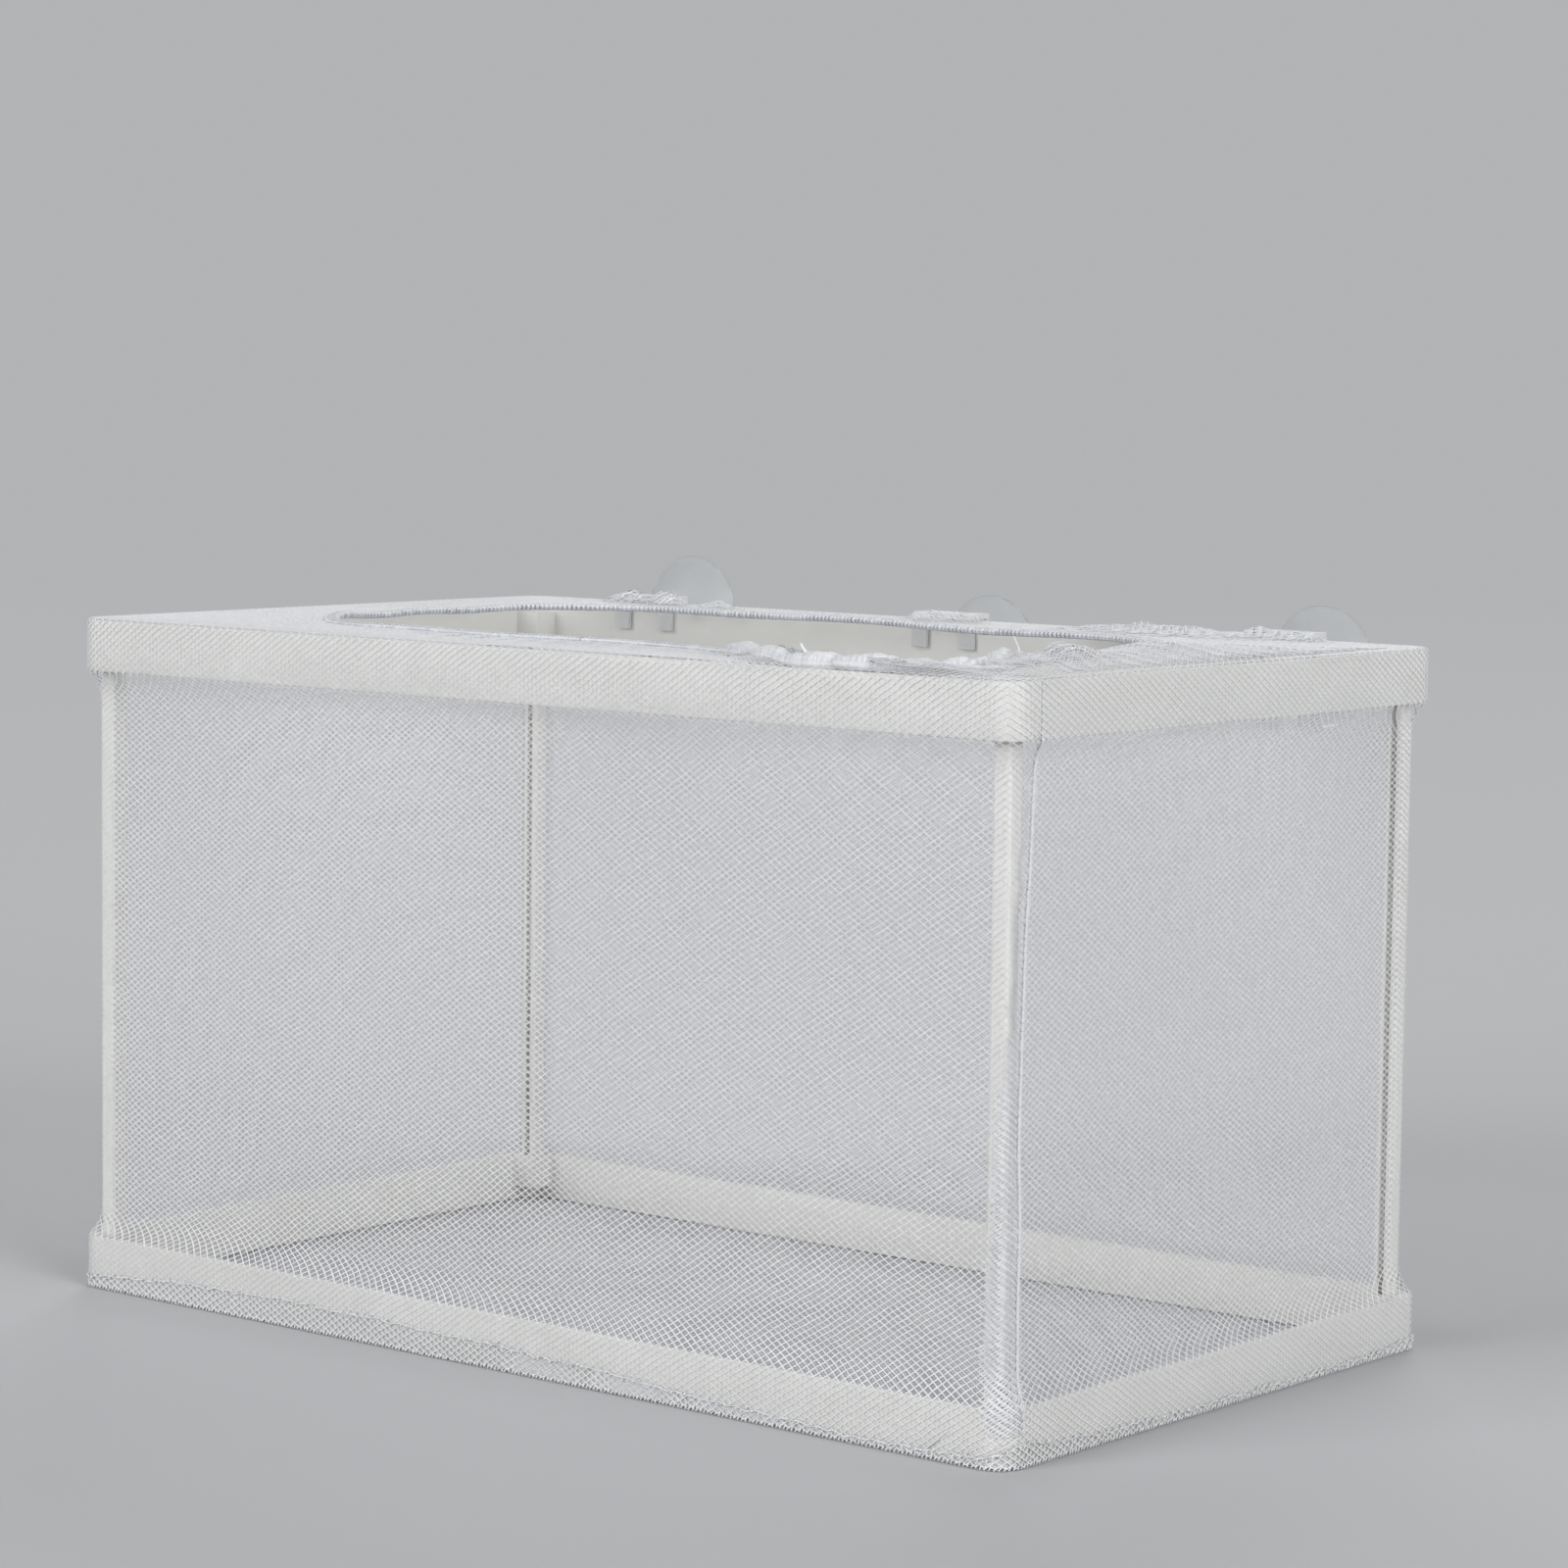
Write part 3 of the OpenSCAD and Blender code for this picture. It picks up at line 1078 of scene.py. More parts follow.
    def strip_point(self, along: Values, up: Values) -> Points:
        """Carries the flat strip onto the bag.

        Args:
            along: lengths round the rails from the front's middle.
            up: lengths up the strip from the floor.

        Returns:
            Rows of x, y, z.
        """
        sizes = self.sizes
        eighths = self.rail.eighths(along)
        on_rail = self.rail.at(eighths)
        on_posts = self.posts.at(eighths)
        lead = self.lead + self.lead_sway * ring_waves(eighths / 8, Seed.LEAD, 3, 15)
        near = np.minimum(sizes.upper_edge - up, up - sizes.lower_edge)
        drawn = 1 - (1 - np.clip(near / lead, 0, 1)) ** 2.3
        plan = on_rail + (on_posts - on_rail) * drawn[:, None]
        # Slack, which is free away from the posts and the rails.
        from_corner = np.minimum(np.mod(eighths + 1, 2), 2 - np.mod(eighths + 1, 2))
        free = ease(from_corner / 0.25) * ease(near / 22)
        plan = plan + unit(plan) * (self.slack * free * waves(along, up, Seed.SLACK, 75))[:, None]
        # The fold over the top rail.
        angle = np.clip((up - self.fold_start) / self.fold_radius, 0, math.pi / 2)
        over = up > self.fold_start
        height = np.where(over, self.fold_start + self.fold_radius * np.sin(angle), up)
        edge = self.rail.grown(-self.fold_radius).at(eighths)
        folded = on_rail + (edge - on_rail) * (1 - np.cos(angle))[:, None]
        # The flap, which runs in to the mouth.
        part = np.clip((up - self.fold_end) / self.flap_length, 0, 1)
        on_flap = part > 0
        hem = self.mouth_point(eighths)
        inward = edge + (hem[:, :2] - edge) * part[:, None]
        plan = np.where(over[:, None], np.where(on_flap[:, None], inward, folded), plan)
        height = np.where(on_flap, self.flap_height(eighths, part, hem[:, 2]), height)
        fade = ease(part / 0.12) * ease((1.02 - part) / 0.12)
        height += np.where(on_flap, fade * self.humps(plan), 0)
        return np.column_stack([plan, height])

    def flap_height(self, eighths: Values, part: Values, hem: Values) -> Values:
        """Gives the height of the net between the top rail and the hem.

        Args:
            eighths: places round the box.
            part: 0 at the rail and 1 at the hem.
            hem: the hem's height there.

        Returns:
            One height for each place.
        """
        turn = eighths / 8
        top = self.fold_start + self.fold_radius
        crowd = self.crowd(eighths)
        gathers = ring_waves(turn, Seed.GATHERS, 70, 120, 10)
        fine = ring_waves(turn, Seed.FINE_GATHERS, 150, 210, 6)
        grow = ease((part - 0.1) / 0.9)
        arch = np.sin(math.pi * np.clip(part, 0, 1))
        ripple = grow * (0.06 + 0.45 * crowd) * gathers + grow ** 2 * (0.03 + 0.25 * crowd) * fine
        right = self.bump(eighths, 1.95, 0.75)
        uneven = 1 + 0.5 * ring_waves(turn, Seed.SAG, 2, 9)
        sag = -0.45 * arch ** 1.5 * uneven * (1 - right) * (1 - crowd)
        puff = 2.2 * right * arch ** 1.2
        heap = 1.0 + 0.5 * ring_waves(turn, Seed.BUNCH, 26, 60)
        bunch = heap * crowd * ease(part / 0.3) * arch ** 0.5
        drop = (hem - top) * part ** 1.6
        return top + drop + ease(part / 0.12) * (ripple + sag + puff + bunch)

    # -- seams and floor

    def seam_height(self, eighths: Values) -> Values:
        """Gives the height of the floor seam, which wanders and runs low along the right side."""
        turn = np.mod(eighths, 8)
        return follow(FLOOR_SEAM_LEVELS, turn) + 0.22 * ring_waves(turn / 8, Seed.FLOOR_SEAM, 12, 60, 10)

    def turn_up_point(self, along: Values, up: Values) -> Points:
        """Carries the floor panel's turned-up edge onto the lower rail, over the walls."""
        plan = self.rail.grown(0.2).at(self.rail.eighths(along))
        return np.column_stack([plan, np.maximum(up, 0.25)])

    def allowance_point(self, along: Values, up: Values, out: float = 0.18) -> Points:
        """Carries the side seam's folded edge onto the net beside the front right post.

        Args:
            along: lengths round the rails.
            up: lengths up the strip.
            out: how far the fold stands out from the net.

        Returns:
            Rows of x, y, z.
        """
        point = self.strip_point(along, up)
        past_corner = ease((along - self.corner + 1.5) / 3)
        point[:, 0] += out * past_corner
        point[:, 1] -= out * (1 - past_corner)
        return point

    def side_seam_place(self, up: Values) -> Values:
        """Gives the side seam's length round the rails, which leans towards the post lower down."""
        return self.corner + follow(SIDE_SEAM_LEAN, up) + 0.15 * waves(up, up * 0, Seed.SIDE_SEAM, 24)

    def floor_point(self, x: Values, y: Values) -> Points:
        """Carries the flat floor panel under the lower rail.

        Args:
            x: places along the box.
            y: places across the box.

        Returns:
            Rows of x, y, z.
        """
        edge = np.minimum(self.rail.half_x - np.abs(x), self.rail.half_y - np.abs(y))
        sag = self.floor_sag * (1 + waves(x, y, Seed.FLOOR_SAG, 60))
        return np.column_stack([x, y, self.floor_level + ease((edge - 2) / 20) * np.maximum(sag, 0)])

    def once_round(self, along: Values) -> Values:
        """Tells which lengths lie in the strip's one turn round the box."""
        return (along > 0) & (along <= self.rail.length)

    # -- net meshes

    def wandered(self, flat: Points) -> Points:
        """Moves the flat net's knots a little, as real net is uneven.

        Args:
            flat: rows of places on the flat net.

        Returns:
            The moved places.
        """
        u, v = flat[:, 0], flat[:, 1]
        ways = ((Seed.DRIFT_ALONG, Seed.JITTER_ALONG), (Seed.DRIFT_UP, Seed.JITTER_UP))
        return flat + np.column_stack([
            self.drift * waves(u, v, drift, 34) + self.jitter * waves(u, v, jitter, 5)
            for drift, jitter in ways
        ])

    def lattice(self, name: str, keep: Meshes, carry: Carry, mesh: tuple[float, float] | None = None,
                thread: float | None = None,
                offset: tuple[float, float] = (0.0, 0.0)) -> tuple[Piece, float]:
        """Makes net from diamond meshes of thread.

        Args:
            name: the piece's name.
            keep: tells from the meshes' flat middles which ones there are.
            carry: turns flat places into points on the bag.
            mesh: width and height of one mesh, if not the walls'.
            thread: width of the thread, if not the walls'.
            offset: how far the meshes are shifted along the net.

        Returns:
            The piece, and its threads' flat area in square millimetres.
        """
        half = np.array(mesh or self.mesh) / 2
        box = keep.bounds
        columns = np.arange(math.floor(box[0] / half[0]) - 1, math.ceil(box[1] / half[0]) + 2)
        rows = np.arange(math.floor(box[2] / half[1]) - 1, math.ceil(box[3] / half[1]) + 2)
        middles = np.stack(np.meshgrid(columns, rows, indexing="ij"), axis=2).reshape(-1, 2)
        middles = middles[middles.sum(axis=1) % 2 == 0]
        middles = middles[keep(*(middles * half).T)]
        corners = np.array([(1, 0), (0, 1), (-1, 0), (0, -1)])
        knots = middles[:, None, :] + corners[None]
        keys, index = np.unique(knots.reshape(-1, 2), axis=0, return_inverse=True)
        index = index.reshape(-1, 4)
        shrink = 1 - (thread or self.thread) * math.hypot(*half) / (2 * half[0] * half[1])
        hole = (middles[:, None, :] + corners[None] * shrink) * half
        flat = np.vstack([keys * half, hole.reshape(-1, 2)])
        hole_index = len(keys) + np.arange(len(middles) * 4).reshape(-1, 4)
        following = [1, 2, 3, 0]
        faces = np.stack(
            [index, index[:, following], hole_index[:, following], hole_index], axis=2
        ).reshape(-1, 4)
        area = mesh_area(np.column_stack([flat, np.zeros(len(flat))]), faces)
        u, v = (self.wandered(flat) + np.array(offset)).T
        step = 0.2
        across = carry(u + step, v) - carry(u - step, v)
        upward = carry(u, v + step) - carry(u, v - step)
        is_hole = np.arange(len(flat)) >= len(keys)
        lift = np.where(is_hole, -0.5, 0.5) * self.thread_height
        obj = mesh_object(name, carry(u, v) + unit(np.cross(across, upward)) * lift[:, None], faces)
        set_uv(obj, flat)
        # The across amount is 1 at the holes' edges, where the net finish paints shade.
        set_amount(obj, "across", is_hole.astype(float))
        return obj, area

    def layered(self, name: str, keep: Meshes, folds: list[Layer]) -> tuple[Piece, float]:
        """Makes part of the strip, with doubled folds of net on it.

        Args:
            name: the piece's name.
            keep: tells which meshes there are.
            folds: the folds that lie on it.

        Returns:
            The piece, and its threads' flat area in square millimetres.
        """
        obj, area = self.lattice(name, keep, self.strip_point)
        for fold in folds:
            layer, layer_area = self.lattice("fold", fold, fold.carry, offset=fold.offset)
            obj, area = join(name, [obj, layer]), area + layer_area
        return obj, area

    def build(self, wardrobe: Wardrobe) -> None:
        """Makes the four walls, the flap and the floor.

        Args:
            wardrobe: the finishes.
        """
        for side in Side:
            node, start, end = side.value
            keep = WallMeshes(self, start, end)
            folds = [FoldMeshes(self, layer) for layer in (0, 1)] if side is Side.RIGHT else []
            obj, area = self.layered(node.replace("net_", "meshed_"), keep, folds)
            dress(obj, wardrobe.net, BOX, "net", node)
        folds = [GatherMeshes(self, layer) for layer in (0, 1)]
        self.flap, self.flap_area = self.layered("meshed_top_flap", FlapMeshes(self), folds)
        dress(self.flap, wardrobe.net, BOX, "net", "net_top_flap")
        panel, area = self.lattice("floor_panel", FloorMeshes(self), self.floor_point, self.floor_mesh,
                                   self.floor_thread)
        edge, edge_area = self.lattice("floor_edge", TurnUpMeshes(self), self.turn_up_point)
        obj = dress(join("meshed_floor", [panel, edge]), wardrobe.net, BOX, "net", "net_floor")


@dataclass
class WallMeshes:
    """Tells which meshes of the strip belong to one wall."""

    bag: NetBag
    start: float
    end: float

    def __post_init__(self) -> None:
        """Works out where the wall lies on the strip."""
        rail = self.bag.rail
        steps = np.concatenate([rail.marks()[:-1], rail.marks() + rail.length])
        self.low, self.high = np.interp((self.start, self.end), np.arange(len(steps)), steps).tolist()

    @property
    def bounds(self) -> Bounds:
        """The wall's box on the flat strip."""
        return self.low, self.high, 0.3, self.bag.fold_start

    def __call__(self, along: Values, up: Values) -> Values:
        """Tells which middles are on the wall."""
        level = (up > 0.95) & (up <= self.bag.fold_start)
        return level & (along > self.low) & (along <= self.high)


@dataclass
class TurnUpMeshes:
    """Tells which meshes lie on the floor panel's turned-up edge."""

    bag: NetBag

    @property
    def bounds(self) -> Bounds:
        """The edge's box, laid flat."""
        return 0.0, self.bag.rail.length, 0.0, 7.0

    def __call__(self, along: Values, up: Values) -> Values:
        """Tells which middles are below the floor seam."""
        below = up < self.bag.seam_height(self.bag.rail.eighths(along))
        return self.bag.once_round(along) & (up > 0.5) & below


@dataclass
class FoldMeshes:
    """Tells which meshes lie on the side seam's folded edge, doubled over the front right post."""

    bag: NetBag
    layer: int
    bottom: float = 6.5

    @property
    def offset(self) -> tuple[float, float]:
        """How far the layer's meshes are shifted from the wall's."""
        return ((0.5, 0.3), (-0.3, 0.55))[self.layer]

    @property
    def bounds(self) -> Bounds:
        """The folded edge's box on the flat strip."""
        return self.bag.corner - 9, self.bag.corner + 15, 6.0, self.bag.fold_start

    def carry(self, along: Values, up: Values) -> Points:
        """Carries the layer onto the net."""
        return self.bag.allowance_point(along, up, 0.14 + 0.12 * self.layer)

    def __call__(self, along: Values, up: Values) -> Values:
        """Tells which middles are on the folded edge.

        Args:
            along: lengths round the rails.
            up: lengths up the strip.

        Returns:
            A mask.
        """
        edge = self.bag.side_seam_place(up)
        ragged = 0.5 * waves(up, up * 0, Seed.FOLD_EDGE + self.layer, 9)
        start = edge - follow(FOLD_WIDTHS, up) * (1 - 0.12 * self.layer) - ragged
        return (along < edge) & (along > start) & (up > self.bottom) & (up < self.bag.sizes.upper_edge)


@dataclass
class FlapMeshes:
    """Tells which meshes of the strip lie over the top rail, up to the hem."""

    bag: NetBag
    prong_inset: float = 2.0
    slot_reach: tuple[float, float] = (2.5, 1.1)

    @property
    def bounds(self) -> Bounds:
        """The flap's box on the flat strip."""
        return 0.0, self.bag.rail.length, self.bag.fold_start, self.bag.strip_end

    def __call__(self, along: Values, up: Values) -> Values:
        """Tells which middles are on the flap, and clear of the hooks' prongs.

        Args:
            along: lengths round the rails.
            up: lengths up the strip.

        Returns:
            A mask.
        """
        bag = self.bag
        point = bag.strip_point(along, up)
        kept = bag.once_round(along) & (up > bag.fold_start) & (up <= bag.strip_end)
        for place in CUP_PLACES:
            low, high = node_box("cup_hook_" + place)
            near_y = np.abs(point[:, 1] - (low.y + 0.6)) < self.slot_reach[1]
            for prong in (low.x + self.prong_inset, high.x - self.prong_inset):
                kept &= ~((np.abs(point[:, 0] - prong) < self.slot_reach[0]) & near_y)
        return kept


@dataclass
class GatherMeshes:
    """Tells which meshes lie on the flap's doubled folds: in the gathers, the humps and on the right."""

    bag: NetBag
    layer: int

    @property
    def offset(self) -> tuple[float, float]:
        """How far the layer's meshes are shifted from the flap's."""
        return ((0.4, 0.2), (-0.5, 0.4))[self.layer]

    @property
    def bounds(self) -> Bounds:
        """The folds' box on the flat strip."""
        return 0.0, self.bag.rail.length, self.bag.fold_end, self.bag.strip_end

    def bunched(self, along: Values, up: Values) -> Values:
        """Tells how bunched the net is.

        Args:
            along: lengths round the rails.
            up: lengths up the strip.

        Returns:
            0 where the net lies in one layer, 1 in the gathers.
        """
        eighths = self.bag.rail.eighths(along)
        part = (up - self.bag.fold_end) / self.bag.flap_length
        gathers = self.bag.crowd(eighths) * ease((part - 0.2) / 0.3)
        right = 0.6 * ease((eighths - 1.1) / 0.3) * ease((3.1 - eighths) / 0.4) * ease(part / 0.15)
        humps = self.bag.humps(self.bag.strip_point(along, up)[:, :2])
        return np.maximum(np.maximum(gathers, right), np.clip(humps / 1.5, 0, 1))

    def carry(self, along: Values, up: Values) -> Points:
        """Carries the layer onto the flap, in ripples of its own.

        Args:
            along: lengths round the rails.
            up: lengths up the strip.

        Returns:
            Rows of x, y, z.
        """
        point = self.bag.strip_point(along, up)
        turn = along / self.bag.rail.length + 0.0003 * up
        ripple = ring_waves(turn, Seed.LAYER_RIPPLE + self.layer, 80, 150, 8)
        lift = 0.3 + 0.2 * self.layer + 0.25 * ripple
        point[:, 2] += self.bunched(along, up) * np.maximum(lift, 0.12)
        return point

    def __call__(self, along: Values, up: Values) -> Values:
        """Tells which middles are on the folds.

        Args:
            along: lengths round the rails.
            up: lengths up the strip.

        Returns:
            A mask.
        """
        bag = self.bag
        least = 0.25 + 0.15 * self.layer + 0.05 * waves(along, up, Seed.GATHER_EDGE + self.layer, 7)
        level = (up > bag.fold_end + 1) & (up < bag.strip_end - 0.6)
        return bag.once_round(along) & level & (self.bunched(along, up) > least)


@dataclass
class FloorMeshes:
    """Tells which meshes of a flat panel lie inside the rails' outline."""

    bag: NetBag
    margin: float = 0.6

    @property
    def bounds(self) -> Bounds:
        """The panel's box."""
        rail = self.bag.rail
        return -rail.half_x, rail.half_x, -rail.half_y, rail.half_y

    def __call__(self, x: Values, y: Values) -> Values:
        """Tells which middles are on the panel.

        Args:
            x: places along the box.
            y: places across the box.

        Returns:
            A mask.
        """
        rail = self.bag.rail
        dx = np.maximum(np.abs(x) - (rail.half_x - rail.radius), 0)
        dy = np.maximum(np.abs(y) - (rail.half_y - rail.radius), 0)
        return np.hypot(dx, dy) < rail.radius - self.margin


# ---------------------------------------------------------------- tubes and stitches


def tube(name: str, path: Points, radius: Values, sides: int, closed: bool) -> Piece:
    """Makes a tube round a line, with a UV map in millimetres along and around.

    Args:
        name: the piece's name.
        path: rows of points.
        radius: one radius for each point and side, or what broadcasts to that.
        sides: how many sides the tube has.
        closed: whether the line joins its start.

    Returns:
        The tube.
    """
    count = len(path)
    around = np.roll(path, -1, axis=0) - np.roll(path, 1, axis=0)
    ahead = unit(around if closed else np.gradient(path, axis=0))
    steep = np.abs(ahead[:, 2]).mean() > 0.8
    side = unit(np.cross(ahead, [1.0, 0.0, 0.0] if steep else [0.0, 0.0, 1.0]))
    up = np.cross(side, ahead)
    angles = np.arange(sides) * 2 * math.pi / sides
    reach = np.broadcast_to(radius, (count, sides))
    rings = (path[:, None, :]
             + side[:, None, :] * (np.cos(angles) * reach)[..., None]
             + up[:, None, :] * (np.sin(angles) * reach)[..., None])
    ring = np.arange(count if closed else count - 1)[:, None]
    spoke = np.arange(sides)[None]
    following = (ring + 1) % count
    beside = (spoke + 1) % sides
    faces = np.stack([
        ring * sides + spoke, ring * sides + beside,
        following * sides + beside, following * sides + spoke,
    ], axis=2).reshape(-1, 4)
    obj = mesh_object(name, rings.reshape(-1, 3), faces)
    turned = np.abs(angles - math.pi) * float(np.mean(reach))
    set_uv(obj, np.column_stack([np.repeat(run_lengths(path), sides), np.tile(turned, count)]))
    if not closed:
        choose(obj, "EDGE", np.zeros(len(obj.data.edges)))
        bpy.ops.mesh.select_non_manifold(extend=False)
        bpy.ops.mesh.edge_face_add()
        leave_edit()
    choose(obj, "FACE")
    bpy.ops.mesh.normals_make_consistent(inside=False)
    leave_edit()
    return obj


def oval(angles: Values, half_width: float, half_height: float) -> Values:
    """Gives an oval's reach from its middle at some angles."""
    return 1 / np.hypot(np.cos(angles) / half_width, np.sin(angles) / half_height)


@dataclass
class StitchRow:
    """A row of sewn stitches: one rounded bead, repeated along a line."""

    pitch: float
    length: float
    radius: float
    tilt: float = 0.0
    waver: float = 0.05
    uneven_turn: float = 0.12

    def bead(self) -> tuple[Points, Values]:
        """Models one stitch along X.

        Returns:
            Its points and its faces.
        """
        bpy.ops.object.select_all(action="DESELECT")
        bpy.ops.mesh.primitive_cylinder_add(vertices=6, radius=self.radius * MM, depth=self.length * MM,
                                            end_fill_type="NGON", rotation=(0, math.pi / 2, 0))
        obj = name_active("stitch_pattern")
        settle(obj)
        choose(obj, "FACE", [abs(face.normal.x) > 0.9 for face in obj.data.polygons])
        bpy.ops.mesh.inset(thickness=self.radius * MM * 0.45, depth=self.radius * MM * 0.5,
                           use_individual=True)
        bpy.ops.mesh.select_all(action="SELECT")
        bpy.ops.mesh.quads_convert_to_tris()
        leave_edit()
        points = read_points(obj)
        faces = np.array([tuple(face.vertices) for face in obj.data.polygons])
        bpy.data.objects.remove(obj)
        return points, faces

    def along(self, name: str, path: Points, closed: bool = True) -> Piece:
        """Lays stitches along a line.

        Args:
            name: the piece's name.
            path: rows of points.
            closed: whether the line joins its start.

        Returns:
            The stitches as one piece.
        """
        line = np.vstack([path, path[:1]]) if closed else path
        lengths = run_lengths(line)
        count = int(lengths[-1] / self.pitch)
        places = (np.arange(count) + 0.5) * lengths[-1] / count
        centres, tips = (
            np.column_stack([np.interp(where, lengths, line[:, axis]) for axis in range(3)])
            for where in (places, places + 0.3)
        )
        ahead = unit(tips - centres)
        up = np.tile([0.0, 0.0, 1.0], (count, 1))
        up[np.abs(ahead[:, 2]) > 0.9] = [1.0, 0.0, 0.0]
        side = unit(np.cross(up, ahead))
        up = np.cross(ahead, side)
        source = np.random.default_rng(int(Seed.STITCHES))
        angles = math.radians(self.tilt) + source.normal(0, self.uneven_turn, count)[:, None]
        lengthwise = ahead * np.cos(angles) + up * np.sin(angles)
        upright = up * np.cos(angles) - ahead * np.sin(angles)
        centres = centres + source.normal(0, self.waver, (count, 3))
        points, faces = self.bead()
        placed = centres[:, None, :] + sum(
            points[None, :, number, None] * axis[:, None, :]
            for number, axis in enumerate((lengthwise, side, upright)))
        every = faces[None] + (np.arange(count) * len(points))[:, None, None]
        return mesh_object(name, placed.reshape(-1, 3), every.reshape(-1, 3))


# ---------------------------------------------------------------- mouth


@dataclass(frozen=True)
class ThreadEnd:
    """A loose end of sewing thread: its place round the mouth, height, lean in x and y, and radius."""

    place: float
    height: float
    lean: tuple[float, float]
    radius: float


@dataclass
class Mouth:
    """The gathered mouth: a rolled hem with its elastic, stitches and thread ends."""

    bag: NetBag
    half_width: float = 1.65
    half_height: float = 0.75
    elastic_radius: float = 0.45
    rings: int = 1400
    sides: int = 18
    stitch_lines: Table = ((-1.3, 0.38), (1.45, 0.2))
    ends: tuple[ThreadEnd, ...] = (
        ThreadEnd(0.758, 3.3, (-1.1, 0.2), 0.38),
        ThreadEnd(1.29, 4.2, (-0.9, 0.3), 0.17),
    )

    def hem(self) -> Piece:
        """Models the flat rolled hem, which turns into lumps where it is gathered.

        Returns:
            The hem.
        """
        eighths = places_round(self.rings)
        turn = eighths[:, None] / 8
        crowd = self.bag.crowd(eighths)[:, None]
        angles = (np.arange(self.sides) * 2 * math.pi / self.sides)[None]
        flat = oval(angles, self.half_width, self.half_height)
        swirl = turn + 0.0022 * np.sin(2 * angles + 0.7)
        lumps = np.abs(ring_waves(swirl, Seed.HEM_LUMPS, 36, 64, 9)) ** 0.6
        folds = np.abs(ring_waves(swirl + 0.3, Seed.HEM_FOLDS, 120, 190, 9)) ** 0.7
        creases = ring_waves(turn + 0.0015 * np.cos(angles), Seed.HEM_CREASES, 150, 260, 8)
        upper = 0.65 + 0.35 * np.sin(angles)
        below = np.where(np.sin(angles) < -0.1, 0.75, 1)
        puffs = (1.0 + 1.7 * lumps * upper + 0.35 * folds) * below
        reach = flat * (1 + 0.07 * creases) * (1 - crowd) + crowd * puffs
        path = self.bag.mouth_point(eighths)
        hem = tube("rolled_hem", path, np.maximum(reach, 0.5), self.sides, closed=True)
        set_amount(hem, "drawn", np.repeat(crowd[:, 0], self.sides))
        return hem

    def elastic(self) -> Piece:
        """Models the elastic inside the hem."""
        path = self.bag.mouth_point(places_round(360))
        return tube("hem_elastic", path, self.elastic_radius, 10, closed=True)

    def stitches(self) -> Piece:
        """Sews the hem down with two rows, one over its inner edge and one on its outer side.

        Returns:
            The stitches.
        """
        eighths = places_round(1200)
        path = self.bag.mouth_point(eighths)
        crowd = self.bag.crowd(eighths)
        outward = unit(path[:, :2])
        rows = []
        for out, up in self.stitch_lines:
            line = np.column_stack([path[:, :2] + outward * out, path[:, 2] + up + crowd * 0.5])
            row = StitchRow(pitch=1.1, length=0.66, radius=0.16, tilt=12, waver=0.04)
            rows.append(row.along("hem_row", line))
        return join("hem_stitches", rows)

    def thread_ends(self) -> Piece:
        """Models the loose ends of the sewing thread.

        Returns:
            The ends as one piece.
        """
        made = []
        part = np.linspace(0, 1, 14)
        for end in self.ends:
            root = self.bag.mouth_point(np.array([end.place]))[0]
            path = np.column_stack([
                root[0] + end.lean[0] * part + 0.35 * np.sin(part * 5),
                root[1] + end.lean[1] * part,
                root[2] + 0.8 + end.height * part ** 0.8,
            ])
            radius = end.radius * (1 - 0.35 * part)
            made.append(tube("thread_end", path, radius[:, None], 6, closed=False))
        return join("hem_thread_ends", made)

    def build(self, wardrobe: Wardrobe) -> list[Piece]:
        """Makes and dresses the mouth's pieces.

        Args:
            wardrobe: the finishes.

        Returns:
            The pieces.
        """
        return [
            dress(self.hem(), wardrobe.hem, BOX, "seam", "mouth_hem"),
            dress(self.elastic(), wardrobe.elastic, BOX, "elastic", "mouth_elastic"),
            dress(self.stitches(), wardrobe.stitch, BOX, "seam"),
            dress(self.thread_ends(), wardrobe.stitch, BOX, "seam"),
        ]


# ---------------------------------------------------------------- seams


@dataclass(frozen=True)
class Pleat:
    """A fold at the front right corner: two ends, as length past the corner and height, and its rise."""

    start: tuple[float, float]
    end: tuple[float, float]
    rise: float


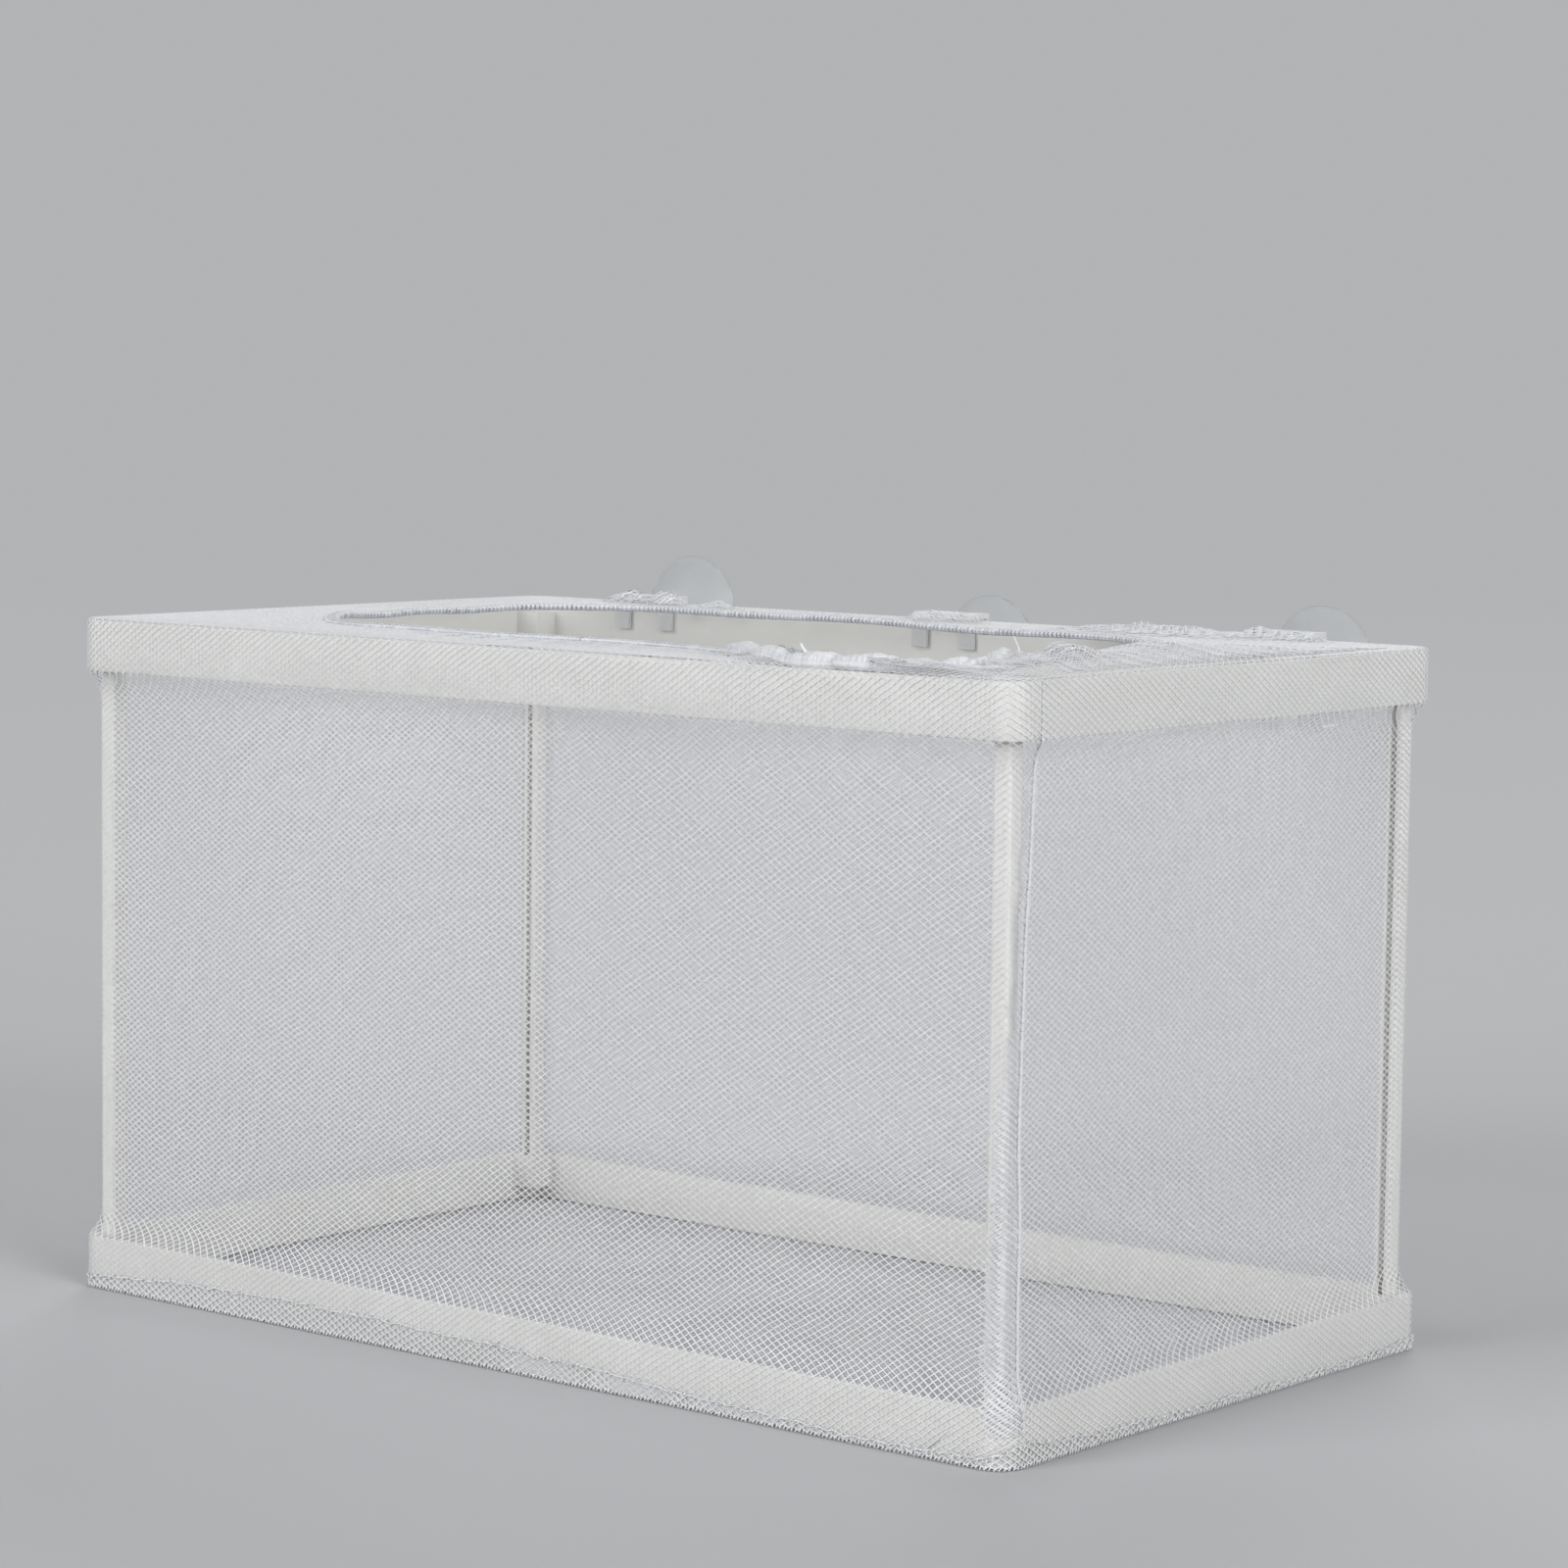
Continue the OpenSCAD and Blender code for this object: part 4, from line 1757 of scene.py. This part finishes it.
@dataclass
class Seams:
    """The bag's seams: up the right wall, and round the lower rail."""

    bag: NetBag
    bottom: float = 6.6
    pleats: tuple[Pleat, ...] = (
        Pleat((-17.5, 1.6), (-12.2, 6.2), 0.12),
        Pleat((-9.0, 1.6), (-6.4, 4.2), 0.1),
        Pleat((-3.0, 3.0), (3.2, 6.4), 0.16),
        Pleat((5.5, 1.2), (8.0, 4.6), 0.1),
    )

    def side_line(self, shift: float, out: float, count: int, top: float) -> Points:
        """Gives a line down the side seam.

        Args:
            shift: how far it lies from the fold, along the wall.
            out: how far it stands out from the net.
            count: how many points it has.
            top: how high it ends.

        Returns:
            Rows of points.
        """
        up = np.linspace(self.bottom, top, count)
        path = self.bag.allowance_point(self.bag.side_seam_place(up) + shift, up)
        path[:, 0] += out
        return path

    def side_seam(self) -> Piece:
        """Models the folded edge that leans towards the front right post, and lies flat on the rails.

        Returns:
            The seam.
        """
        path = self.side_line(-0.2, 0.1, 260, self.bag.fold_start)
        angles = np.arange(10) * 2 * math.pi / 10
        up = path[:, 2]
        swell = 1 + 0.16 * waves(up, up * 0, Seed.SIDE_SEAM_SWELL, 3)
        on_rail = ease((up - self.bag.sizes.upper_edge) / 1.5)
        size = swell * (1 - 0.8 * on_rail) * (1 - 0.6 * ease((15 - up) / 6))
        path[:, 0] -= 0.42 * on_rail
        reach = size[:, None] * oval(angles, 0.52, 0.2)[None]
        return tube("side_seam_fold", path, reach, 10, closed=False)

    def side_stitches(self) -> Piece:
        """Sews the side seam.

        Returns:
            The stitches.
        """
        path = self.side_line(-0.8, 0.16, 420, self.bag.sizes.upper_edge)
        row = StitchRow(pitch=1.3, length=0.9, radius=0.12, tilt=14)
        return row.along("side_seam_stitches", path, closed=False)

    def ring(self, lift: float, out: float, seed: int, sway: float) -> Points:
        """Gives a line round the lower rail, along the floor seam.

        Args:
            lift: how far it lies above the seam.
            out: how far it lies outside the net's middle.
            seed: sets how it strays.
            sway: how far it strays from the seam.

        Returns:
            Rows of points.
        """
        eighths = places_round(1400)
        stray = sway * ring_waves(eighths / 8, seed, 90, 260, 12)
        level = self.bag.seam_height(eighths) + lift + stray
        return np.column_stack([self.bag.rail.grown(out).at(eighths), level])

    def floor_seam(self) -> Piece:
        """Models the seam that joins the walls to the floor panel.

        Returns:
            The seam.
        """
        path = self.ring(0.0, 0.24, Seed.FLOOR_SEAM_SWAY, 0.22)
        turn = np.arange(len(path)) / len(path)
        reach = 0.15 * (1 + 0.35 * ring_waves(turn, Seed.FLOOR_SEAM_SWELL, 200, 420, 8))
        return tube("floor_seam_fold", path, np.clip(reach, 0.08, 0.26)[:, None], 6, closed=True)

    def floor_stitches(self) -> Piece:
        """Sews the floor seam."""
        row = StitchRow(pitch=1.5, length=0.55, radius=0.14, tilt=50, waver=0.12)
        return row.along("floor_seam_stitches", self.ring(-0.1, 0.36, Seed.FLOOR_STITCH_SWAY, 0.3))

    def corner_pleats(self) -> Piece:
        """Models the pleats where the net is folded at the front right corner.

        Returns:
            The pleats as one piece.
        """
        rail = self.bag.rail
        part = np.linspace(0, 1, 16)
        made = []
        for pleat in self.pleats:
            along, up = (start + (end - start) * part for start, end in zip(pleat.start, pleat.end))
            along = self.bag.corner + along + 0.3 * np.sin(part * math.pi)
            plan = rail.grown(0.3).at(rail.eighths(along))
            reach = pleat.rise * np.sin(np.clip(part, 0.08, 0.92) * math.pi) ** 0.6
            made.append(tube("pleat", np.column_stack([plan, up]), reach[:, None], 6, closed=False))
        return join("corner_pleats", made)

    def bottom_edge(self) -> Piece:
        """Overcasts the bag's bottom edge.

        Returns:
            The stitches.
        """
        plan = self.bag.rail.grown(0.12).at(places_round(1200))
        path = np.column_stack([plan, np.full(len(plan), 0.62)])
        row = StitchRow(pitch=0.95, length=0.8, radius=0.14, tilt=62, waver=0.03)
        return row.along("bottom_edge_stitches", path)

    def build(self, wardrobe: Wardrobe) -> None:
        """Makes and dresses the seams.

        Args:
            wardrobe: the finishes.
        """
        dress(self.side_seam(), wardrobe.seam, BOX, "seam", "side_seam")
        dress(self.side_stitches(), wardrobe.stitch, BOX, "seam")
        dress(self.floor_seam(), wardrobe.seam, BOX, "seam", "floor_seam")
        dress(self.floor_stitches(), wardrobe.stitch, BOX, "seam")
        dress(self.corner_pleats(), wardrobe.seam, BOX, "seam")
        dress(self.bottom_edge(), wardrobe.stitch, BOX, "seam")


# ---------------------------------------------------------------- rigid parts


@dataclass
class MouldedPart:
    """A rigid moulded part: its CAD solid with its edges rounded."""

    node: str
    edge: float
    segments: int = 2
    sharp: float = 40.0

    def model(self) -> Piece:
        """Copies the solid, merges it and rounds its edges.

        Returns:
            The part.
        """
        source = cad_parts[self.node]
        obj = source.copy()
        obj.data = source.data.copy()
        bpy.context.scene.collection.objects.link(obj)
        only(obj)
        name_active(self.node + "_moulded")
        for key in [key for key in obj.keys() if key.startswith("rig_")]:
            del obj[key]
        obj.parent = None
        choose(obj, "VERT")
        bpy.ops.mesh.remove_doubles(threshold=1e-6)
        bpy.ops.mesh.dissolve_limited(angle_limit=math.radians(0.5))
        leave_edit()
        bevel = obj.modifiers.new("round_edges", "BEVEL")
        bevel.width = self.edge * MM
        bevel.segments = self.segments
        bevel.limit_method = "ANGLE"
        bevel.angle_limit = math.radians(self.sharp)
        bevel.use_clamp_overlap = True
        bpy.ops.object.modifier_apply(modifier=bevel.name)
        return smooth(obj, self.sharp)


@dataclass
class PlasticFrame:
    """The two socketed rail rings and the four grooved posts."""

    rail_edge: float = 0.3
    post_edge: float = 0.12

    def build(self, wardrobe: Wardrobe) -> None:
        """Makes and dresses the rails and posts.

        Args:
            wardrobe: the finishes.
        """
        # The lower rail ring gets the darker copy of the plastic, which is painted shade.
        parts = [("lower_frame", self.rail_edge, wardrobe.shaded_lower_plastic),
                 ("upper_frame", self.rail_edge, wardrobe.plastic)]
        parts += [("post_" + place, self.post_edge, wardrobe.plastic)
                  for place in ("front_left", "front_right", "back_left", "back_right")]
        for node, edge, finish in parts:
            dress(MouldedPart(node, edge).model(), finish, BOX, "frame_plastic", node)


@dataclass
class CupHooks:
    """The three clear hooks over the back of the top rail."""

    edge: float = 0.18

    def build(self, wardrobe: Wardrobe) -> None:
        """Makes and dresses the hooks.

        Args:
            wardrobe: the finishes.
        """
        for place in CUP_PLACES:
            node = "cup_hook_" + place
            dress(MouldedPart(node, self.edge, 3).model(), wardrobe.hook, BOX, "clear_hook", node)


@dataclass
class SuctionCup:
    """A clear vinyl cup: button, neck, stepped hub and flared bell, turned about its axis."""

    place: str
    turns: int = 96
    hub_radius: float = 5.0
    button: float = 1.2
    neck: float = 1.5
    hub: float = 2.6
    hollow: float = 1.6
    wall: float = 0.8

    def __post_init__(self) -> None:
        """Reads the cup's place and size from its CAD node."""
        self.node = "suction_cup_" + self.place
        low, high = node_box(self.node)
        self.centre = Vector(((low.x + high.x) / 2, low.y, (low.z + high.z) / 2))
        self.rim = (high.x - low.x) / 2
        self.depth = high.y - low.y

    def profile(self) -> list[tuple[float, float]]:
        """Gives the cup's half section.

        Returns:
            Pairs of radius and distance from the button's front, in order from there to the hollow.
        """
        rim, depth, button_end = self.rim, self.depth, self.button
        neck_end = button_end + self.neck
        hub_end = neck_end + self.hub
        outside = [
            (0.0, 0.12), (1.2, 0.06), (2.6, 0.0), (3.3, 0.06), (3.62, 0.28), (3.7, 0.6), (3.62, 0.95),
            (3.35, 1.16), (2.7, button_end), (2.36, button_end + 0.1), (2.3, button_end + 0.3),
            (2.3, neck_end - 0.2), (2.4, neck_end - 0.04), (3.1, neck_end), (4.6, neck_end),
            (4.9, neck_end + 0.1), (5.0, neck_end + 0.35), (5.0, hub_end - 0.9), (4.92, hub_end - 0.72),
            (4.72, hub_end - 0.6), (4.72, hub_end - 0.25), (4.85, hub_end - 0.06),
        ]
        for part in (step / 12 for step in range(1, 12)):
            flare = hub_end + (depth - hub_end) * part ** 1.5
            outside.append((self.hub_radius + (rim - self.hub_radius) * part, flare))
        lip = [(rim, depth - 0.12), (rim - 0.05, depth - 0.03), (rim - 0.2, depth), (rim - 0.5, depth)]
        top = hub_end + self.hollow
        inside = [
            ((rim - self.wall) * part, top + (depth - 0.02 - top) * part ** 2)
            for part in (1.0, 0.92, 0.84, 0.75, 0.65, 0.55, 0.45, 0.35, 0.25, 0.14, 0.06, 0.0)
        ]
        return outside + lip + inside

    def model(self) -> Piece:
        """Spins the half section about the cup's axis.

        Returns:
            The cup.
        """
        points = [(self.centre + Vector((r, y, 0))) * MM for r, y in self.profile()]
        mesh = bpy.data.meshes.new("cup_section")
        mesh.from_pydata(points, [(i, i + 1) for i in range(len(points) - 1)], [])
        obj = link(self.node + "_vinyl", mesh)
        choose(obj, "VERT")
        bpy.ops.mesh.spin(steps=self.turns, angle=2 * math.pi, center=self.centre * MM, axis=(0, 1, 0))
        bpy.ops.mesh.select_all(action="SELECT")
        bpy.ops.mesh.remove_doubles(threshold=2e-6)
        bpy.ops.mesh.normals_make_consistent(inside=False)
        leave_edit()
        return smooth(obj, 50)

    def build(self, wardrobe: Wardrobe) -> None:
        """Makes and dresses the cup."""
        dress(self.model(), wardrobe.cup, self.node, "clear_cup", self.node)


# ---------------------------------------------------------------- studio


@dataclass(frozen=True)
class Sun:
    """A broad, even lamp: where it stands, seen from the object, its strength and its breadth."""

    name: str
    towards: tuple[float, float, float]
    strength: float
    degrees: float

    def build(self) -> None:
        """Adds the lamp."""
        data = bpy.data.lights.new(self.name, "SUN")
        data.energy = self.strength
        data.angle = math.radians(self.degrees)
        obj = link(self.name, data)
        obj.rotation_mode = "QUATERNION"
        obj.rotation_quaternion = Vector(self.towards).to_track_quat("Z", "Y")


@dataclass
class Studio:
    """The camera, the plain pale floor and backdrop, and the soft lights, in metres."""

    place: tuple[float, float, float] = (0.60376, -0.72421, 0.20278)
    right: tuple[float, float, float] = (0.77361848, 0.63353445, 0.01218802)
    up: tuple[float, float, float] = (-0.06891246, 0.06499842, 0.99550303)
    back: tuple[float, float, float] = (0.62989326, -0.77097944, 0.0939424)
    lens: float = 103.19
    floor_radius: float = 30.0
    floor_fade: tuple[float, float] = (0.7, 3.0)
    floor_colour: Colour = (0.555, 0.562, 0.574)
    backdrop: Colour = (0.445, 0.452, 0.462)
    light_colour: Colour = (0.97, 0.985, 1.0)
    light_strength: float = 0.32
    suns: tuple[Sun, ...] = (
        Sun("key_light", (-0.25, -0.85, 0.34), 1.78, 34),
        Sun("side_light", (0.95, -0.15, 0.34), 1.85, 36),
        Sun("back_light", (-0.42, 0.73, 0.55), 0.62, 28),
    )

    def camera(self) -> None:
        """Sets up the camera."""
        data = bpy.data.cameras.new("camera")
        data.lens = self.lens
        data.sensor_width = 36.0
        data.clip_start = 0.01
        data.clip_end = 100.0
        obj = link("camera", data)
        turn = Matrix((self.right, self.up, self.back)).transposed()
        obj.matrix_world = Matrix.Translation(self.place) @ turn.to_4x4()
        bpy.context.scene.camera = obj

    def floor(self) -> None:
        """Lays a large plain floor, which runs into the backdrop far from the object."""
        bpy.ops.object.select_all(action="DESELECT")
        bpy.ops.mesh.primitive_circle_add(vertices=96, radius=self.floor_radius, fill_type="NGON")
        obj = name_active("floor")
        settle(obj)
        graph = Graph("floor_paint")
        where = graph.place()
        shade = tuple(c * 0.985 for c in self.floor_colour)
        paint = graph.finish(
            Base_Color=graph.blend(graph.noise(where, 3, 2), self.floor_colour, shade),
            Roughness=0.8, Specular_IOR_Level=0.1,
        )
        away = graph.add("VectorMath", {"Vector": where}, operation="LENGTH").outputs["Value"]
        factor = graph.math("MULTIPLY", graph.spread(away, *self.floor_fade), graph.seen())
        glow = graph.add("Emission", {"Color": self.backdrop}).outputs["Emission"]
        graph.links.new(graph.mix(factor, graph.shader.outputs["BSDF"], glow), graph.surface)
        obj.data.materials.append(paint)

    def world(self) -> None:
        """Sets the backdrop and the even light round the object."""
        world = bpy.data.worlds.new("studio")
        bpy.context.scene.world = world
        world.use_nodes = True
        nodes = Nodes(world.node_tree)
        light, view = (
            nodes.add("Background", {"Color": colour, "Strength": strength}).outputs["Background"]
            for colour, strength in ((self.light_colour, self.light_strength), (self.backdrop, 1.0))
        )
        nodes.add("OutputWorld", {"Surface": nodes.mix(nodes.seen(), light, view)})

    def build(self) -> None:
        """Sets up everything but the object."""
        self.camera()
        self.floor()
        self.world()
        for sun in self.suns:
            sun.build()
        bpy.context.scene.view_settings.view_transform = "Standard"


# ---------------------------------------------------------------- whole object


def main() -> None:
    """Builds the studio and the breeding box, piece by piece."""
    logging.basicConfig(level=logging.INFO, format="%(name)s: %(message)s")
    Studio().build()
    wardrobe = Wardrobe()
    PlasticFrame().build(wardrobe)
    bag = NetBag(BoxSizes.from_frame())
    bag.build(wardrobe)
    on_mouth = Mouth(bag).build(wardrobe)
    Seams(bag).build(wardrobe)
    CupHooks().build(wardrobe)
    for place in CUP_PLACES:
        SuctionCup(place).build(wardrobe)


if __name__ == "__main__":
    main()
